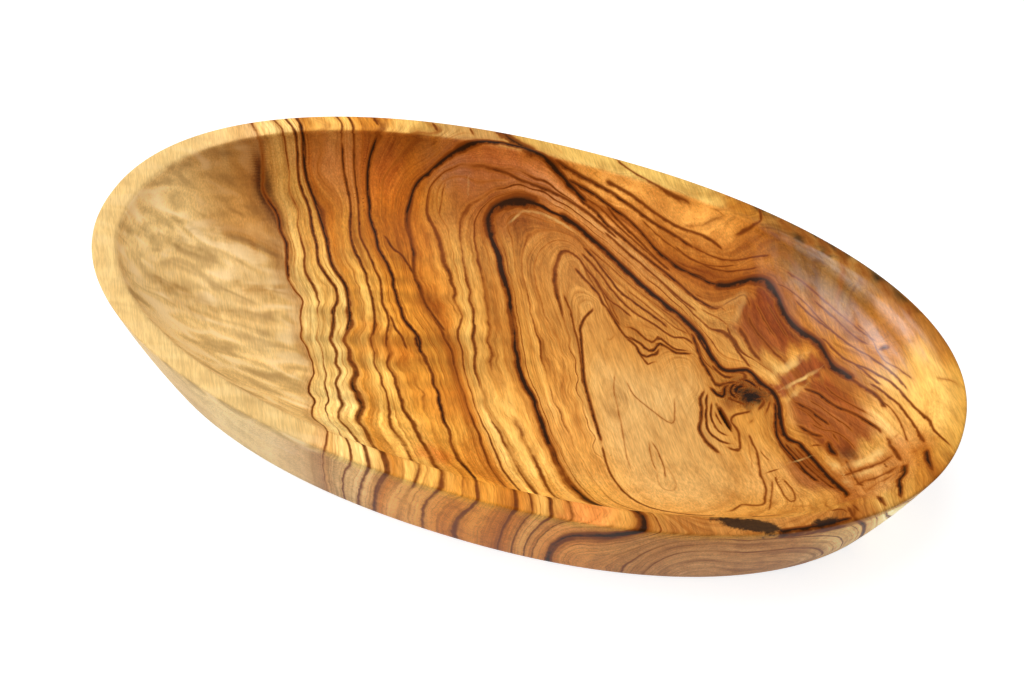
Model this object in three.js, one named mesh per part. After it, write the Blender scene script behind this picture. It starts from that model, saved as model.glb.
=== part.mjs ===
// An oval serving bowl hollowed from one block of olive wood.
// Millimetres, +Z up, origin at the middle of the flat base, long axis along X.
import * as THREE from "three";
import { ParametricGeometry } from "three/addons/geometries/ParametricGeometry.js";

// Outside, measured to the rim's edges before they are eased
const overallLength = 300;
const overallWidth = 154;
const overallHeight = 40;
const planSquareness = 2.14; // 2 is a true ellipse, more is fuller at the corners
const baseInsetAtEnds = 14; // how far the base edge stands in from the rim edge
const baseInsetAtSides = 7.5;
const wallBelly = 0.6; // how far the outer wall swells past a straight line, half way up

// Rim: a flat band with eased edges
const rimWidthAtEnds = 9;
const rimWidthAtSides = 7;
const outerEdgeEase = 1.2;
const innerEdgeEase = 1.6;
const baseEdgeEase = 2.2;

// Hollow: a floor that dips a little to the middle, and a wall that sweeps up to the rim
const floorThickness = 12; // where the wall starts to rise
const floorDip = 0.6;
const floorLength = 150;
const floorWidth = 52;
const wallDropAtRim = 14; // the wall's tangent under the rim goes down this far
const wallTuckAtRim = 5; // and comes in this far
const wallSweepAtEnds = 34; // length of the wall's level tangent where it meets the floor
const wallSweepAtSides = 22;

// Facets
const stepsAround = 104;
const easeSteps = 3;
const wallSteps = 14;
const bellySteps = 4;

// Half of an upright section, from the middle of the base out and back over the rim to the
// middle of the floor. Each point is (distance from the upright axis, height).
function halfSection({ halfSpan, baseInset, rimWidth, floorHalf, wallSweep }) {
  const baseEdge = new THREE.Vector2(halfSpan - baseInset, 0);
  const outerEdge = new THREE.Vector2(halfSpan, overallHeight);
  const innerEdge = new THREE.Vector2(halfSpan - rimWidth, overallHeight);
  const wallTangent = new THREE.Vector2(-wallTuckAtRim, -wallDropAtRim);
  const wallTop = wallTangent.clone().setLength(innerEdgeEase).add(innerEdge);
  const floorEdge = new THREE.Vector2(floorHalf, floorThickness);

  const underside = [new THREE.Vector2(0, 0)];
  const belly = new THREE.Vector2(2 * wallBelly, 0).add(baseEdge.clone().lerp(outerEdge, 0.5));
  const baseRound = easedCorner(underside[0], baseEdge, belly, baseEdgeEase);
  const outerRound = easedCorner(belly, outerEdge, innerEdge, outerEdgeEase);
  const outerWall = new THREE.QuadraticBezierCurve(baseRound.at(-1), belly, outerRound[0]);
  const innerRound = easedCorner(outerEdge, innerEdge, wallTop, innerEdgeEase);
  const wall = new THREE.CubicBezierCurve(
    wallTop,
    wallTangent.add(innerEdge),
    new THREE.Vector2(floorHalf + wallSweep, floorThickness),
    floorEdge,
  ).getPoints(wallSteps);
  const floor = new THREE.QuadraticBezierCurve(
    floorEdge,
    new THREE.Vector2(floorHalf / 2, floorThickness - floorDip),
    new THREE.Vector2(0, floorThickness - floorDip),
  ).getPoints(easeSteps);
  return [
    ...underside,
    ...baseRound,
    ...outerWall.getPoints(bellySteps).slice(1, -1),
    ...outerRound,
    ...innerRound,
    ...wall.slice(1),
    ...floor.slice(1),
  ];
}

// The rounding of one corner of a section, leaving each side at the ease distance.
function easedCorner(before, corner, after, ease) {
  const start = before.clone().sub(corner).setLength(ease).add(corner);
  const end = after.clone().sub(corner).setLength(ease).add(corner);
  return new THREE.QuadraticBezierCurve(start, corner, end).getPoints(easeSteps);
}

// A superellipse of unit half-axes, which every level of the bowl follows.
function planOval(angle) {
  const along = Math.cos(angle);
  const across = Math.sin(angle);
  const bulge = 2 / planSquareness;
  return {
    along: Math.sign(along) * Math.abs(along) ** bulge,
    across: Math.sign(across) * Math.abs(across) ** bulge,
    endShare: along * along,
  };
}

// The bowl's skin: the end section and the side section, lofted round the oval.
function bowlGeometry() {
  const endSection = halfSection({
    halfSpan: overallLength / 2,
    baseInset: baseInsetAtEnds,
    rimWidth: rimWidthAtEnds,
    floorHalf: floorLength / 2,
    wallSweep: wallSweepAtEnds,
  });
  const sideSection = halfSection({
    halfSpan: overallWidth / 2,
    baseInset: baseInsetAtSides,
    rimWidth: rimWidthAtSides,
    floorHalf: floorWidth / 2,
    wallSweep: wallSweepAtSides,
  });
  const lastStation = sideSection.length - 1;
  const skin = (around, alongSection, target) => {
    const oval = planOval(around * 2 * Math.PI);
    const station = Math.round(alongSection * lastStation);
    const end = endSection[station];
    const side = sideSection[station];
    target.set(
      end.x * oval.along,
      side.x * oval.across,
      THREE.MathUtils.lerp(side.y, end.y, oval.endShare),
    );
  };
  return new ParametricGeometry(skin, stepsAround, lastStation);
}

const oliveWood = new THREE.MeshStandardMaterial({ color: 0xc58a44, roughness: 0.35, metalness: 0 });

const bowl = new THREE.Mesh(bowlGeometry(), oliveWood);
bowl.name = "bowl";

const oliveWoodBowl = new THREE.Group();
oliveWoodBowl.add(bowl);

export default oliveWoodBowl;
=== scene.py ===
import math
import bmesh
import bpy
import numpy as np
from mathutils import Matrix, Vector


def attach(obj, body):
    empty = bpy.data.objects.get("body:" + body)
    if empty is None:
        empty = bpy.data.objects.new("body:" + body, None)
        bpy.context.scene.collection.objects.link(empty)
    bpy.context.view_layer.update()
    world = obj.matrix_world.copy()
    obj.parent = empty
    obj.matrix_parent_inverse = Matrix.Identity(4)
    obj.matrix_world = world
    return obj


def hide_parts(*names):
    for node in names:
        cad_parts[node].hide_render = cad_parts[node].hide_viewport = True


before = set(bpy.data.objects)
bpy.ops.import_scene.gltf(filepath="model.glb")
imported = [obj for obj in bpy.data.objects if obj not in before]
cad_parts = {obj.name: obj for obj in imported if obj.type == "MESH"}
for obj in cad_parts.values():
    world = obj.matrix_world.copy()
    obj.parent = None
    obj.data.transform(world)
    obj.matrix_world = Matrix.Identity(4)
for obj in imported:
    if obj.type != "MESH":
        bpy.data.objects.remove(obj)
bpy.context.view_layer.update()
scene = bpy.context.scene

mm = 0.001  # form and figure are written in millimetres, the scene is in metres

# The bowl's form. Pairs give the size at the ends, along X, and at the flanks, along Y.
bowlForm = {
    "half": (150, 77),
    "height": 40,
    "squareness": 2.14,       # 2 is a true ellipse
    "baseInset": (14, 7.5),
    "wallBelly": 0.6,         # the outer wall swells this far past a straight line
    "rimWidth": (9, 7),
    "outerEase": 1.2,
    "innerEase": 1.6,
    "wornEase": 7.5,          # the rim's inner edge is rubbed softer at the right end
    "wornFrom": 0.4,          # share of the half length where that starts
    "baseEase": 2.2,
    "floorThickness": 12,
    "floorDip": 0.6,
    "floorHalf": (75, 26),
    "wallDrop": 14,           # the hollow's wall under the rim: its tangent goes down and in
    "wallTuck": 5,
    "wallSweep": (34, 22),    # level tangent where the wall meets the floor
    "rowsAlong": 230,         # mesh rows of the hollow and of the underside
    "rowsAcross": 120,
    "floorShare": 0.4,        # share of those rows that lies on the floor
    "easeSteps": 4,
    "rimSteps": 6,
    "wallSteps": 18,
}

# A drying crack beside the knot
crack = {
    "from": (72.2, 4.0),
    "to": (80.6, -6.4),
    "halfWidth": 0.75,
    "depth": 1.8,
    "fineReach": 9,           # the mesh is made finer this far round it
    "fineCuts": 3,
}


def bezier(points, t):
    points = [p + 0 * t for p in points]
    while len(points) > 1:
        points = [a + (b - a) * t for a, b in zip(points, points[1:])]
    return points[0]


def smooth(low, high, value):
    t = np.clip((value - low) / (high - low), 0, 1)
    return t * t * (3 - 2 * t)


def innerCorner(form, way, ease):
    # the rim's inner edge, the end of the wall's tangent, and the top of the hollow's wall
    edge = np.array([form["half"][way] - form["rimWidth"][way], form["height"]], float)
    tangent = np.array([-form["wallTuck"], -form["wallDrop"]], float)
    return edge, edge + tangent, edge + tangent / np.linalg.norm(tangent) * ease


def hollowSection(form, way, station, ease):
    # station 0 is the top of the wall, 1 the edge of the floor, 2 the middle of the floor
    _, tangentEnd, wallTop = innerCorner(form, way, ease)
    foot, floor = form["floorHalf"][way], form["floorThickness"]
    t = np.clip(station, 0, 1)
    inward = np.clip(station - 1, 0, 1)
    reach = bezier([wallTop[0], tangentEnd[0], foot + form["wallSweep"][way], foot], t)
    level = bezier([wallTop[1], tangentEnd[1], floor, floor], t)
    reach = np.where(station > 1, foot * (1 - inward), reach)
    level = level - form["floorDip"] * (1 - (1 - inward) ** 2)
    return reach, level


def softCorner(before, corner, after, ease, steps):
    start = corner + ease * (before - corner) / np.linalg.norm(before - corner)
    end = corner + ease * (after - corner) / np.linalg.norm(after - corner)
    t = np.linspace(0, 1, steps + 1)[:, None]
    return bezier([start, corner, end], t)


def outerSection(form, way, ease):
    # from the top of the hollow's wall over the rim and down the outside to the base
    edge, tangentEnd, _ = innerCorner(form, way, ease)
    half = form["half"][way]
    rimEdge = np.array([half, form["height"]], float)
    baseEdge = np.array([half - form["baseInset"][way], 0], float)
    belly = (rimEdge + baseEdge) / 2 + np.array([2 * form["wallBelly"], 0])
    steps = form["easeSteps"]
    innerRound = softCorner(tangentEnd, edge, rimEdge, ease, steps)
    outerRound = softCorner(edge, rimEdge, belly, form["outerEase"], steps)
    baseRound = softCorner(belly, baseEdge, np.zeros(2), form["baseEase"], steps)
    rim = np.linspace(innerRound[-1], outerRound[0], form["rimSteps"] + 1)[1:-1]
    share = np.linspace(0, 1, form["wallSteps"] + 1)[1:-1, None]
    wall = bezier([outerRound[-1], belly, baseRound[0]], share)
    return np.concatenate([innerRound, rim, outerRound, wall, baseRound])


def ovalShares(form, angle):
    bulge = 2 / form["squareness"]
    along, across = np.cos(angle), np.sin(angle)
    return np.sign(along) * np.abs(along) ** bulge, np.sign(across) * np.abs(across) ** bulge


def drawOut(form, unit):
    # takes the unit shape, two discs and the band between them, to the bowl's own sections
    x, y, z = unit.T
    u, v = x * np.sqrt(1 - y * y / 2), y * np.sqrt(1 - x * x / 2)
    radius = np.clip(np.hypot(u, v), 0, 1)
    along, across = ovalShares(form, np.arctan2(v, u))
    worn = smooth(form["wornFrom"], 1, along)
    share = form["floorShare"]
    station = np.where(radius < share, 2 - radius / share, (1 - radius) / (1 - share))

    def drawn(ease):
        ends, flanks = outerSection(form, 0, ease), outerSection(form, 1, ease)
        row = np.rint((1 - z) * (len(ends) - 1)).astype(int)
        shrink = np.where(row == len(ends) - 1, radius, 1)
        reachEnd, _ = hollowSection(form, 0, station, ease)
        reachFlank, level = hollowSection(form, 1, station, ease)
        isHollow = row == 0
        return np.stack([
            np.where(isHollow, reachEnd, ends[row, 0] * shrink) * along,
            np.where(isHollow, reachFlank, flanks[row, 0] * shrink) * across,
            np.where(isHollow, level, flanks[row, 1]),
        ], 1)

    crisp, rubbed = drawn(form["innerEase"]), drawn(form["wornEase"])
    return crisp + (rubbed - crisp) * worn[:, None]


def verticesOf(mesh):
    place = np.empty(len(mesh.vertices) * 3)
    mesh.vertices.foreach_get("co", place)
    return place.reshape(-1, 3)


def bowlMesh(form):
    # two flat unit grids, for the hollow and the underside, joined by a band that becomes rim and wall
    bm = bmesh.new()
    for level in (1, 0):
        bmesh.ops.create_grid(bm, x_segments=form["rowsAlong"], y_segments=form["rowsAcross"], size=1,
                              matrix=Matrix.Translation((0, 0, level)))
    bmesh.ops.bridge_loops(bm, edges=[e for e in bm.edges if e.is_boundary])
    rungs = [e for e in bm.edges if abs(e.verts[0].co.z - e.verts[1].co.z) > 0.5]
    rows = len(outerSection(form, 0, form["innerEase"]))
    bmesh.ops.subdivide_edges(bm, edges=rungs, cuts=rows - 2, use_grid_fill=True)
    unit = np.array([v.co for v in bm.verts])
    for vertex, place in zip(bm.verts, drawOut(form, unit)):
        vertex.co = place * mm
    cutCrack(bm, crack)
    bmesh.ops.recalc_face_normals(bm, faces=bm.faces[:])
    mesh = bpy.data.meshes.new("bowlShell")
    bm.to_mesh(mesh)
    bm.free()
    mesh.shade_smooth()
    triangles = sum(len(p.vertices) - 2 for p in mesh.polygons)
    print("bowl mesh:", len(mesh.vertices), "vertices,", triangles, "triangles")
    return mesh


def cutCrack(bm, crack):
    start, end = Vector((*crack["from"], 0)) * mm, Vector((*crack["to"], 0)) * mm
    middle, reach = (start + end) / 2, crack["fineReach"] * mm
    upper = bowlForm["floorThickness"] / 2 * mm

    def near(vertex):
        return vertex.co.z > upper and (vertex.co.xy - middle.xy).length < reach

    edges = [e for e in bm.edges if near(e.verts[0]) and near(e.verts[1])]
    bmesh.ops.subdivide_edges(bm, edges=edges, cuts=crack["fineCuts"], use_grid_fill=True)
    run = end - start
    for vertex in (v for v in bm.verts if near(v)):
        offset = vertex.co.xy - start.xy
        t = offset.dot(run.xy) / run.length_squared
        if 0 < t < 1:
            # lens-shaped in plan, with a rounded bottom
            half = crack["halfWidth"] * mm * math.sqrt(math.sin(math.pi * t))
            away = abs(offset.x * run.y - offset.y * run.x) / run.length
            if away < half:
                vertex.co.z -= crack["depth"] * mm * math.sqrt(1 - (away / half) ** 2)


def hollowLevel(form, x, y):
    # height of the hollow or the rim straight above or below a plan point, found by halving
    power, halvings, least = form["squareness"], 26, 1e-6
    near, far = np.zeros_like(x), np.full_like(x, 2.0)
    for _ in range(halvings):
        middle = (near + far) / 2
        reachEnd, _ = hollowSection(form, 0, middle, form["innerEase"])
        reachFlank, _ = hollowSection(form, 1, middle, form["innerEase"])
        inside = (np.abs(x / np.maximum(reachEnd, least)) ** power
                  + np.abs(y / np.maximum(reachFlank, least)) ** power) < 1
        near, far = np.where(inside, middle, near), np.where(inside, far, middle)
    _, level = hollowSection(form, 0, near, form["innerEase"])
    return np.where(near < 10 * least, form["height"], level)


# The wood's figure, drawn in plan. A growth line has its age, which is about the distance in
# millimetres from the stem's pith, and its points.
growthLines = {
    "heartLine": (14, [(20, 31), (20.3, 28), (18.7, 24), (19, 18), (21.5, 12), (25, 4), (28, -3),
        (32.5, -11), (37, -18.5), (41.5, -26)]),
    "tongueLine": (22, [(74, -51), (69, -52), (63, -51), (58, -48), (53, -43.5), (48, -38), (43, -31),
        (39, -24), (34, -18), (30, -11), (25.5, -2), (22.5, 5), (17, 14), (13, 20), (9, 27), (5, 33),
        (3, 38), (2, 44), (2.5, 47.5), (5, 48.5), (9, 47), (13, 43.5), (20, 36), (25, 30.5), (31, 24),
        (36, 20.5), (41, 17.5), (46, 12), (48, 15), (50, 19), (55, 20.5), (60, 19.5), (64, 15),
        (67.5, 9), (67.5, 2), (68.5, -4), (71.5, -10), (76, -15), (80, -16.5)]),
    "tongueOuter": (30, [(54, -53), (46, -45), (39, -37), (32, -29), (26, -21.5), (20, -14), (15, -6),
        (10, 3), (5, 12), (0, 20), (-4, 28), (-8, 35), (-11, 42), (-11, 47), (-9, 50.5), (-5, 52.8),
        (0, 53.5), (6, 52.5), (12, 49.5), (20, 45), (28, 40.5), (36, 37), (44, 32.5), (50, 28.5),
        (56, 25), (61, 21.5), (66, 16), (69, 11.5), (73, 8.5)]),
    "blackArch": (40, [(66, -74), (66, -66), (60, -61.5), (53, -59), (47, -56.5), (41, -51.5),
        (33.5, -43), (27, -33.5), (20, -24), (14.5, -16), (9, -10), (5.5, -5), (2.5, 1), (-1, 8),
        (-5, 16), (-9, 24), (-13, 31), (-18, 39), (-22, 44), (-26, 48.5), (-27.5, 52), (-26, 55.5),
        (-22.5, 58), (-16, 59.8), (-9, 59.5), (-2, 58.3), (5, 56.3), (12, 53.5), (20, 50), (28, 46),
        (36, 42), (44, 38), (51, 34.8), (57, 31), (61.5, 26), (65, 22), (69, 18.8), (74, 18.7),
        (79, 19.8), (84, 18), (88, 14.5), (91, 10), (93, 4), (95, -1.5), (98.5, -4.5), (103, -6.5),
        (107.5, -12), (113, -18.5), (118, -24), (120.3, -29), (121.5, -35), (123, -41), (125, -47)]),
    "thinOuter": (46, [(46, -74), (43.5, -68.5), (37, -60), (31, -52), (25, -43), (18, -34), (10, -25),
        (4, -18), (-1, -11), (-5, -5), (-9, 3), (-13, 12), (-18, 22), (-22, 30), (-27, 39),
        (-31, 46)]),
    "thinOuterRight": (46, [(96.5, 4), (100, 1), (105, 0), (110, -2.5), (112.5, -6.5), (117, -10),
        (120, -15), (123, -23), (125.5, -31), (129.5, -41)]),
    "goldLine": (50, [(40, -75), (37, -69), (32, -63), (28, -58), (21.5, -50), (16, -43), (10.5, -36.5),
        (3.5, -29), (-1, -24), (-4.5, -18), (-9, -11), (-11, -6), (-14, 1), (-18, 10), (-22, 18),
        (-27, 27), (-31, 35), (-35, 42), (-37, 48), (-36, 52.5), (-31, 57), (-24, 61.2), (-15, 62.7),
        (-5, 61.7), (5, 59.7), (12, 57.3), (22, 53.5), (32, 49), (40, 45.5), (48, 41), (55, 36.5),
        (61, 33), (67, 32.5), (72, 29.5), (78, 25), (84, 22.5), (89, 19.5), (94, 14), (97, 11.5),
        (103, 9), (109, 5.5), (114, 2), (119, -4), (123, -12), (126, -20), (128, -28), (131, -37)]),
    "brownLine": (56, [(-22, 11), (-28, 20), (-33, 27), (-38, 34), (-45, 42), (-49, 46), (-51, 51),
        (-51, 56), (-48, 60), (-42, 63), (-34, 65), (-24, 65.8), (-14, 65.5), (-5, 64), (4, 61.8),
        (12, 60), (20, 58), (30, 54), (38, 49), (45, 46), (50, 43.5), (57, 41), (62, 40), (66, 43),
        (70, 45), (72.5, 41.5), (75, 37.5), (80, 33), (87, 28), (93, 23), (98, 18), (104, 15.5),
        (110, 12), (116, 9), (122, 5), (128, -1), (132, -7), (135, -14), (135.5, -20), (134.5, -26),
        (136, -32), (138, -36)]),
    "outerArch": (62, [(29, -76), (26.5, -70), (20, -61), (13, -53), (7, -44.5), (2, -36.5), (-3, -30),
        (-8, -23), (-13, -16.5), (-17, -10), (-20, -5), (-24, -0.5), (-30, 5), (-36, 11), (-41, 17),
        (-46, 23), (-48, 29), (-51, 34.5), (-54.5, 39.5), (-56.5, 45), (-57, 51), (-56, 55.5),
        (-53, 58.5), (-50, 61.5), (-45, 65), (-39, 67.8), (-32, 69.5), (-24, 70.3), (-15, 70),
        (-8, 68.5), (0, 65.5), (8, 62.8), (16, 61.5), (24, 60), (31, 57), (38, 53), (45, 50.5),
        (52, 49.3), (58, 47.6), (65, 48.3), (70, 50.2), (76, 50.6), (80.5, 48), (84, 43.5), (88.5, 39),
        (94, 35.5), (100, 32.8), (103.5, 28.5), (107.5, 24.8), (114, 21.5), (120, 18), (126, 13.5),
        (132, 6), (137, -2), (139.5, -9), (140.5, -15), (143, -20), (147, -22)]),
    "rightOuter": (68, [(103, 34), (110, 30), (118, 26), (125, 21), (131, 15), (136, 8), (140, 0),
        (143, -8), (148, -13)]),
    "farRimBar": (66, [(-43, 75), (-39, 70.5)]),
    "farRimBarLeft": (70, [(-57, 72), (-52, 66.8)]),
    "fineDark": (76, [(17.5, -77), (14.5, -70.5), (10, -61), (5, -55.5), (-1, -49.5), (-5, -43),
        (-7.5, -38.5), (-11, -35.3), (-13, -31), (-17, -25), (-21, -19.5), (-25, -13.6), (-27.3, -10.8),
        (-30.4, -8.6), (-31.6, -5.5), (-34.1, -2.4), (-38.5, 0.5), (-41.6, 3.3), (-43.5, 6.4),
        (-46, 9.2), (-47.9, 12.3), (-50.4, 15.5), (-51.6, 18.3), (-54.1, 21.4), (-56.6, 24.5),
        (-59.4, 27), (-62.3, 29.8), (-64.8, 33.9), (-66.9, 36.4), (-69.4, 39.5), (-70.7, 42.7),
        (-73.5, 48), (-75, 53), (-75, 57), (-73, 62), (-76, 65.2), (-79, 68)]),
    "streakA": (83, [(5, -77), (3, -70), (-3, -62), (-8, -55), (-13, -49), (-17, -44), (-22, -39),
        (-26, -34), (-30, -29), (-34, -24), (-38, -19), (-41, -13), (-43, -8.6), (-44.5, -4),
        (-45.5, -0.2), (-47.9, 3.3), (-51, 6.7), (-52.9, 10.8), (-54.8, 14.5), (-56.6, 17.3),
        (-59.1, 19.8), (-62.3, 23.6), (-65.4, 27), (-69.4, 30.8), (-71.3, 33.9), (-73.2, 38.3),
        (-74.8, 42), (-77.3, 46.4), (-80.5, 53), (-82, 58), (-85, 62), (-88, 64.5)]),
    "streakB": (88, [(-3, -77), (-4.5, -71), (-10, -63), (-16, -55), (-21, -49), (-28, -43), (-30, -36),
        (-34, -30), (-39, -24), (-43, -18), (-47.6, -10), (-49.2, -5), (-50.8, -0.5), (-52.9, 3.3),
        (-55.4, 7.7), (-57.9, 11.4), (-59.8, 13.9), (-61.6, 17), (-64.1, 19.5), (-66.6, 22.7),
        (-69.1, 24.5), (-71.6, 27.7), (-73.5, 30.8), (-75.1, 34.5), (-76.6, 38.9), (-78.5, 42.7),
        (-81.4, 46.8), (-84.6, 52), (-86, 57), (-88, 60.5), (-91, 63)]),
    "stripeA": (95, [(-12, -77), (-16, -71.5), (-20, -66.5), (-25, -61), (-28.5, -56.5), (-31.5, -52),
        (-35, -49), (-38, -44.5), (-38.7, -39), (-42, -35.5), (-46.5, -30.5), (-48, -26),
        (-48.5, -23.7), (-52, -20), (-56, -15.3), (-57.6, -11.4), (-58.2, -6.7), (-59.4, -3),
        (-61.6, 1.4), (-63.5, 5.2), (-66, 8.9), (-69.1, 12), (-72.3, 14.5), (-74.8, 16.7),
        (-76.9, 19.5), (-78.8, 22.3), (-81, 25.8), (-84.4, 30.2), (-90, 37), (-94.5, 41.5), (-97.5, 46),
        (-99.5, 51.5), (-103, 55.5), (-106, 58.5)]),
    "stripeB": (100, [(-18, -77), (-21.5, -71.5), (-29.5, -62), (-33, -57.5), (-37, -53.5),
        (-41.5, -50.7), (-44, -46.5), (-44.7, -42.5), (-47.5, -38), (-52, -32), (-52.7, -28),
        (-55.2, -24.8), (-56, -20.5), (-60.5, -15.8), (-62.9, -9.9), (-64.4, -5.5), (-66, -1.1),
        (-66.6, 2.7), (-68.2, 5.8), (-70.4, 8.3), (-73.5, 10.5), (-76.6, 13), (-79.8, 15.8),
        (-81.6, 18.9), (-83.8, 23), (-87.5, 28), (-91.5, 34.5), (-97, 40), (-99.5, 45), (-101.5, 50),
        (-105, 53), (-109, 56)]),
    "stripeC": (105, [(-24, -76.5), (-28, -70.5), (-36, -61), (-41, -55.5), (-46, -50.5), (-49, -46),
        (-50.5, -40), (-55, -34), (-58.5, -28), (-61.5, -22), (-66, -16.5), (-68.5, -10), (-71, -4),
        (-73.5, 1), (-78, 6), (-82.5, 10.5), (-85.5, 15.5), (-89, 21.5), (-93, 27), (-95.5, 33),
        (-100, 37), (-101.5, 41.5), (-104.5, 46), (-108, 51), (-112, 53.5)]),
    "sapEdge": (112, [(-33.5, -76.5), (-35.2, -70), (-38, -65), (-42, -59.5), (-47.5, -56), (-51, -52),
        (-52.5, -46), (-56, -43), (-58.5, -38.5), (-60.5, -31.5), (-63, -27), (-67, -22.5),
        (-71, -18.5), (-74, -13), (-76.5, -7.5), (-78.5, -2), (-82, 0.8), (-86, 4), (-89, 9),
        (-91.3, 14), (-94, 19), (-98, 23), (-100.5, 27), (-104, 29.5), (-108, 31.5), (-110.5, 37),
        (-112, 42), (-117, 47), (-121, 50.5)]),
    "sapFar": (148, [(-150, 5), (-142, -22), (-125, -50), (-100, -66)]),
    "core": (33, [(96, -68), (96, -60)]),
    "heart": (17, [(55, -18), (66, -38)]),
    "farRim": (71, [(0, 76), (24, 74.5)]),
    "farRimRight": (71, [(60, 72), (100, 60), (128, 42)]),
    "rightTip": (72, [(150, 6)]),
}


def partOf(name, low, high):
    # the part of a growth line between two places across the bowl
    return [point for point in growthLines[name][1] if low <= point[1] <= high]


# Soft bars across the far rim, all alike
rimBars = [
    [(73.6, 69), (78, 64.4), (81, 61)],
    [(80.4, 67), (86, 61.6), (90, 57.4)],
    [(88, 64.4), (93, 59.4), (96.6, 55)],
    [(95, 61.4), (100, 56), (103, 51.6)],
    [(103, 57.6), (108, 52), (110.6, 47.6)],
    [(112, 52), (116.6, 46.6), (118.4, 42.6)],
    [(122, 45.4), (125.6, 40), (126.4, 36.6)],
]

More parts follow.
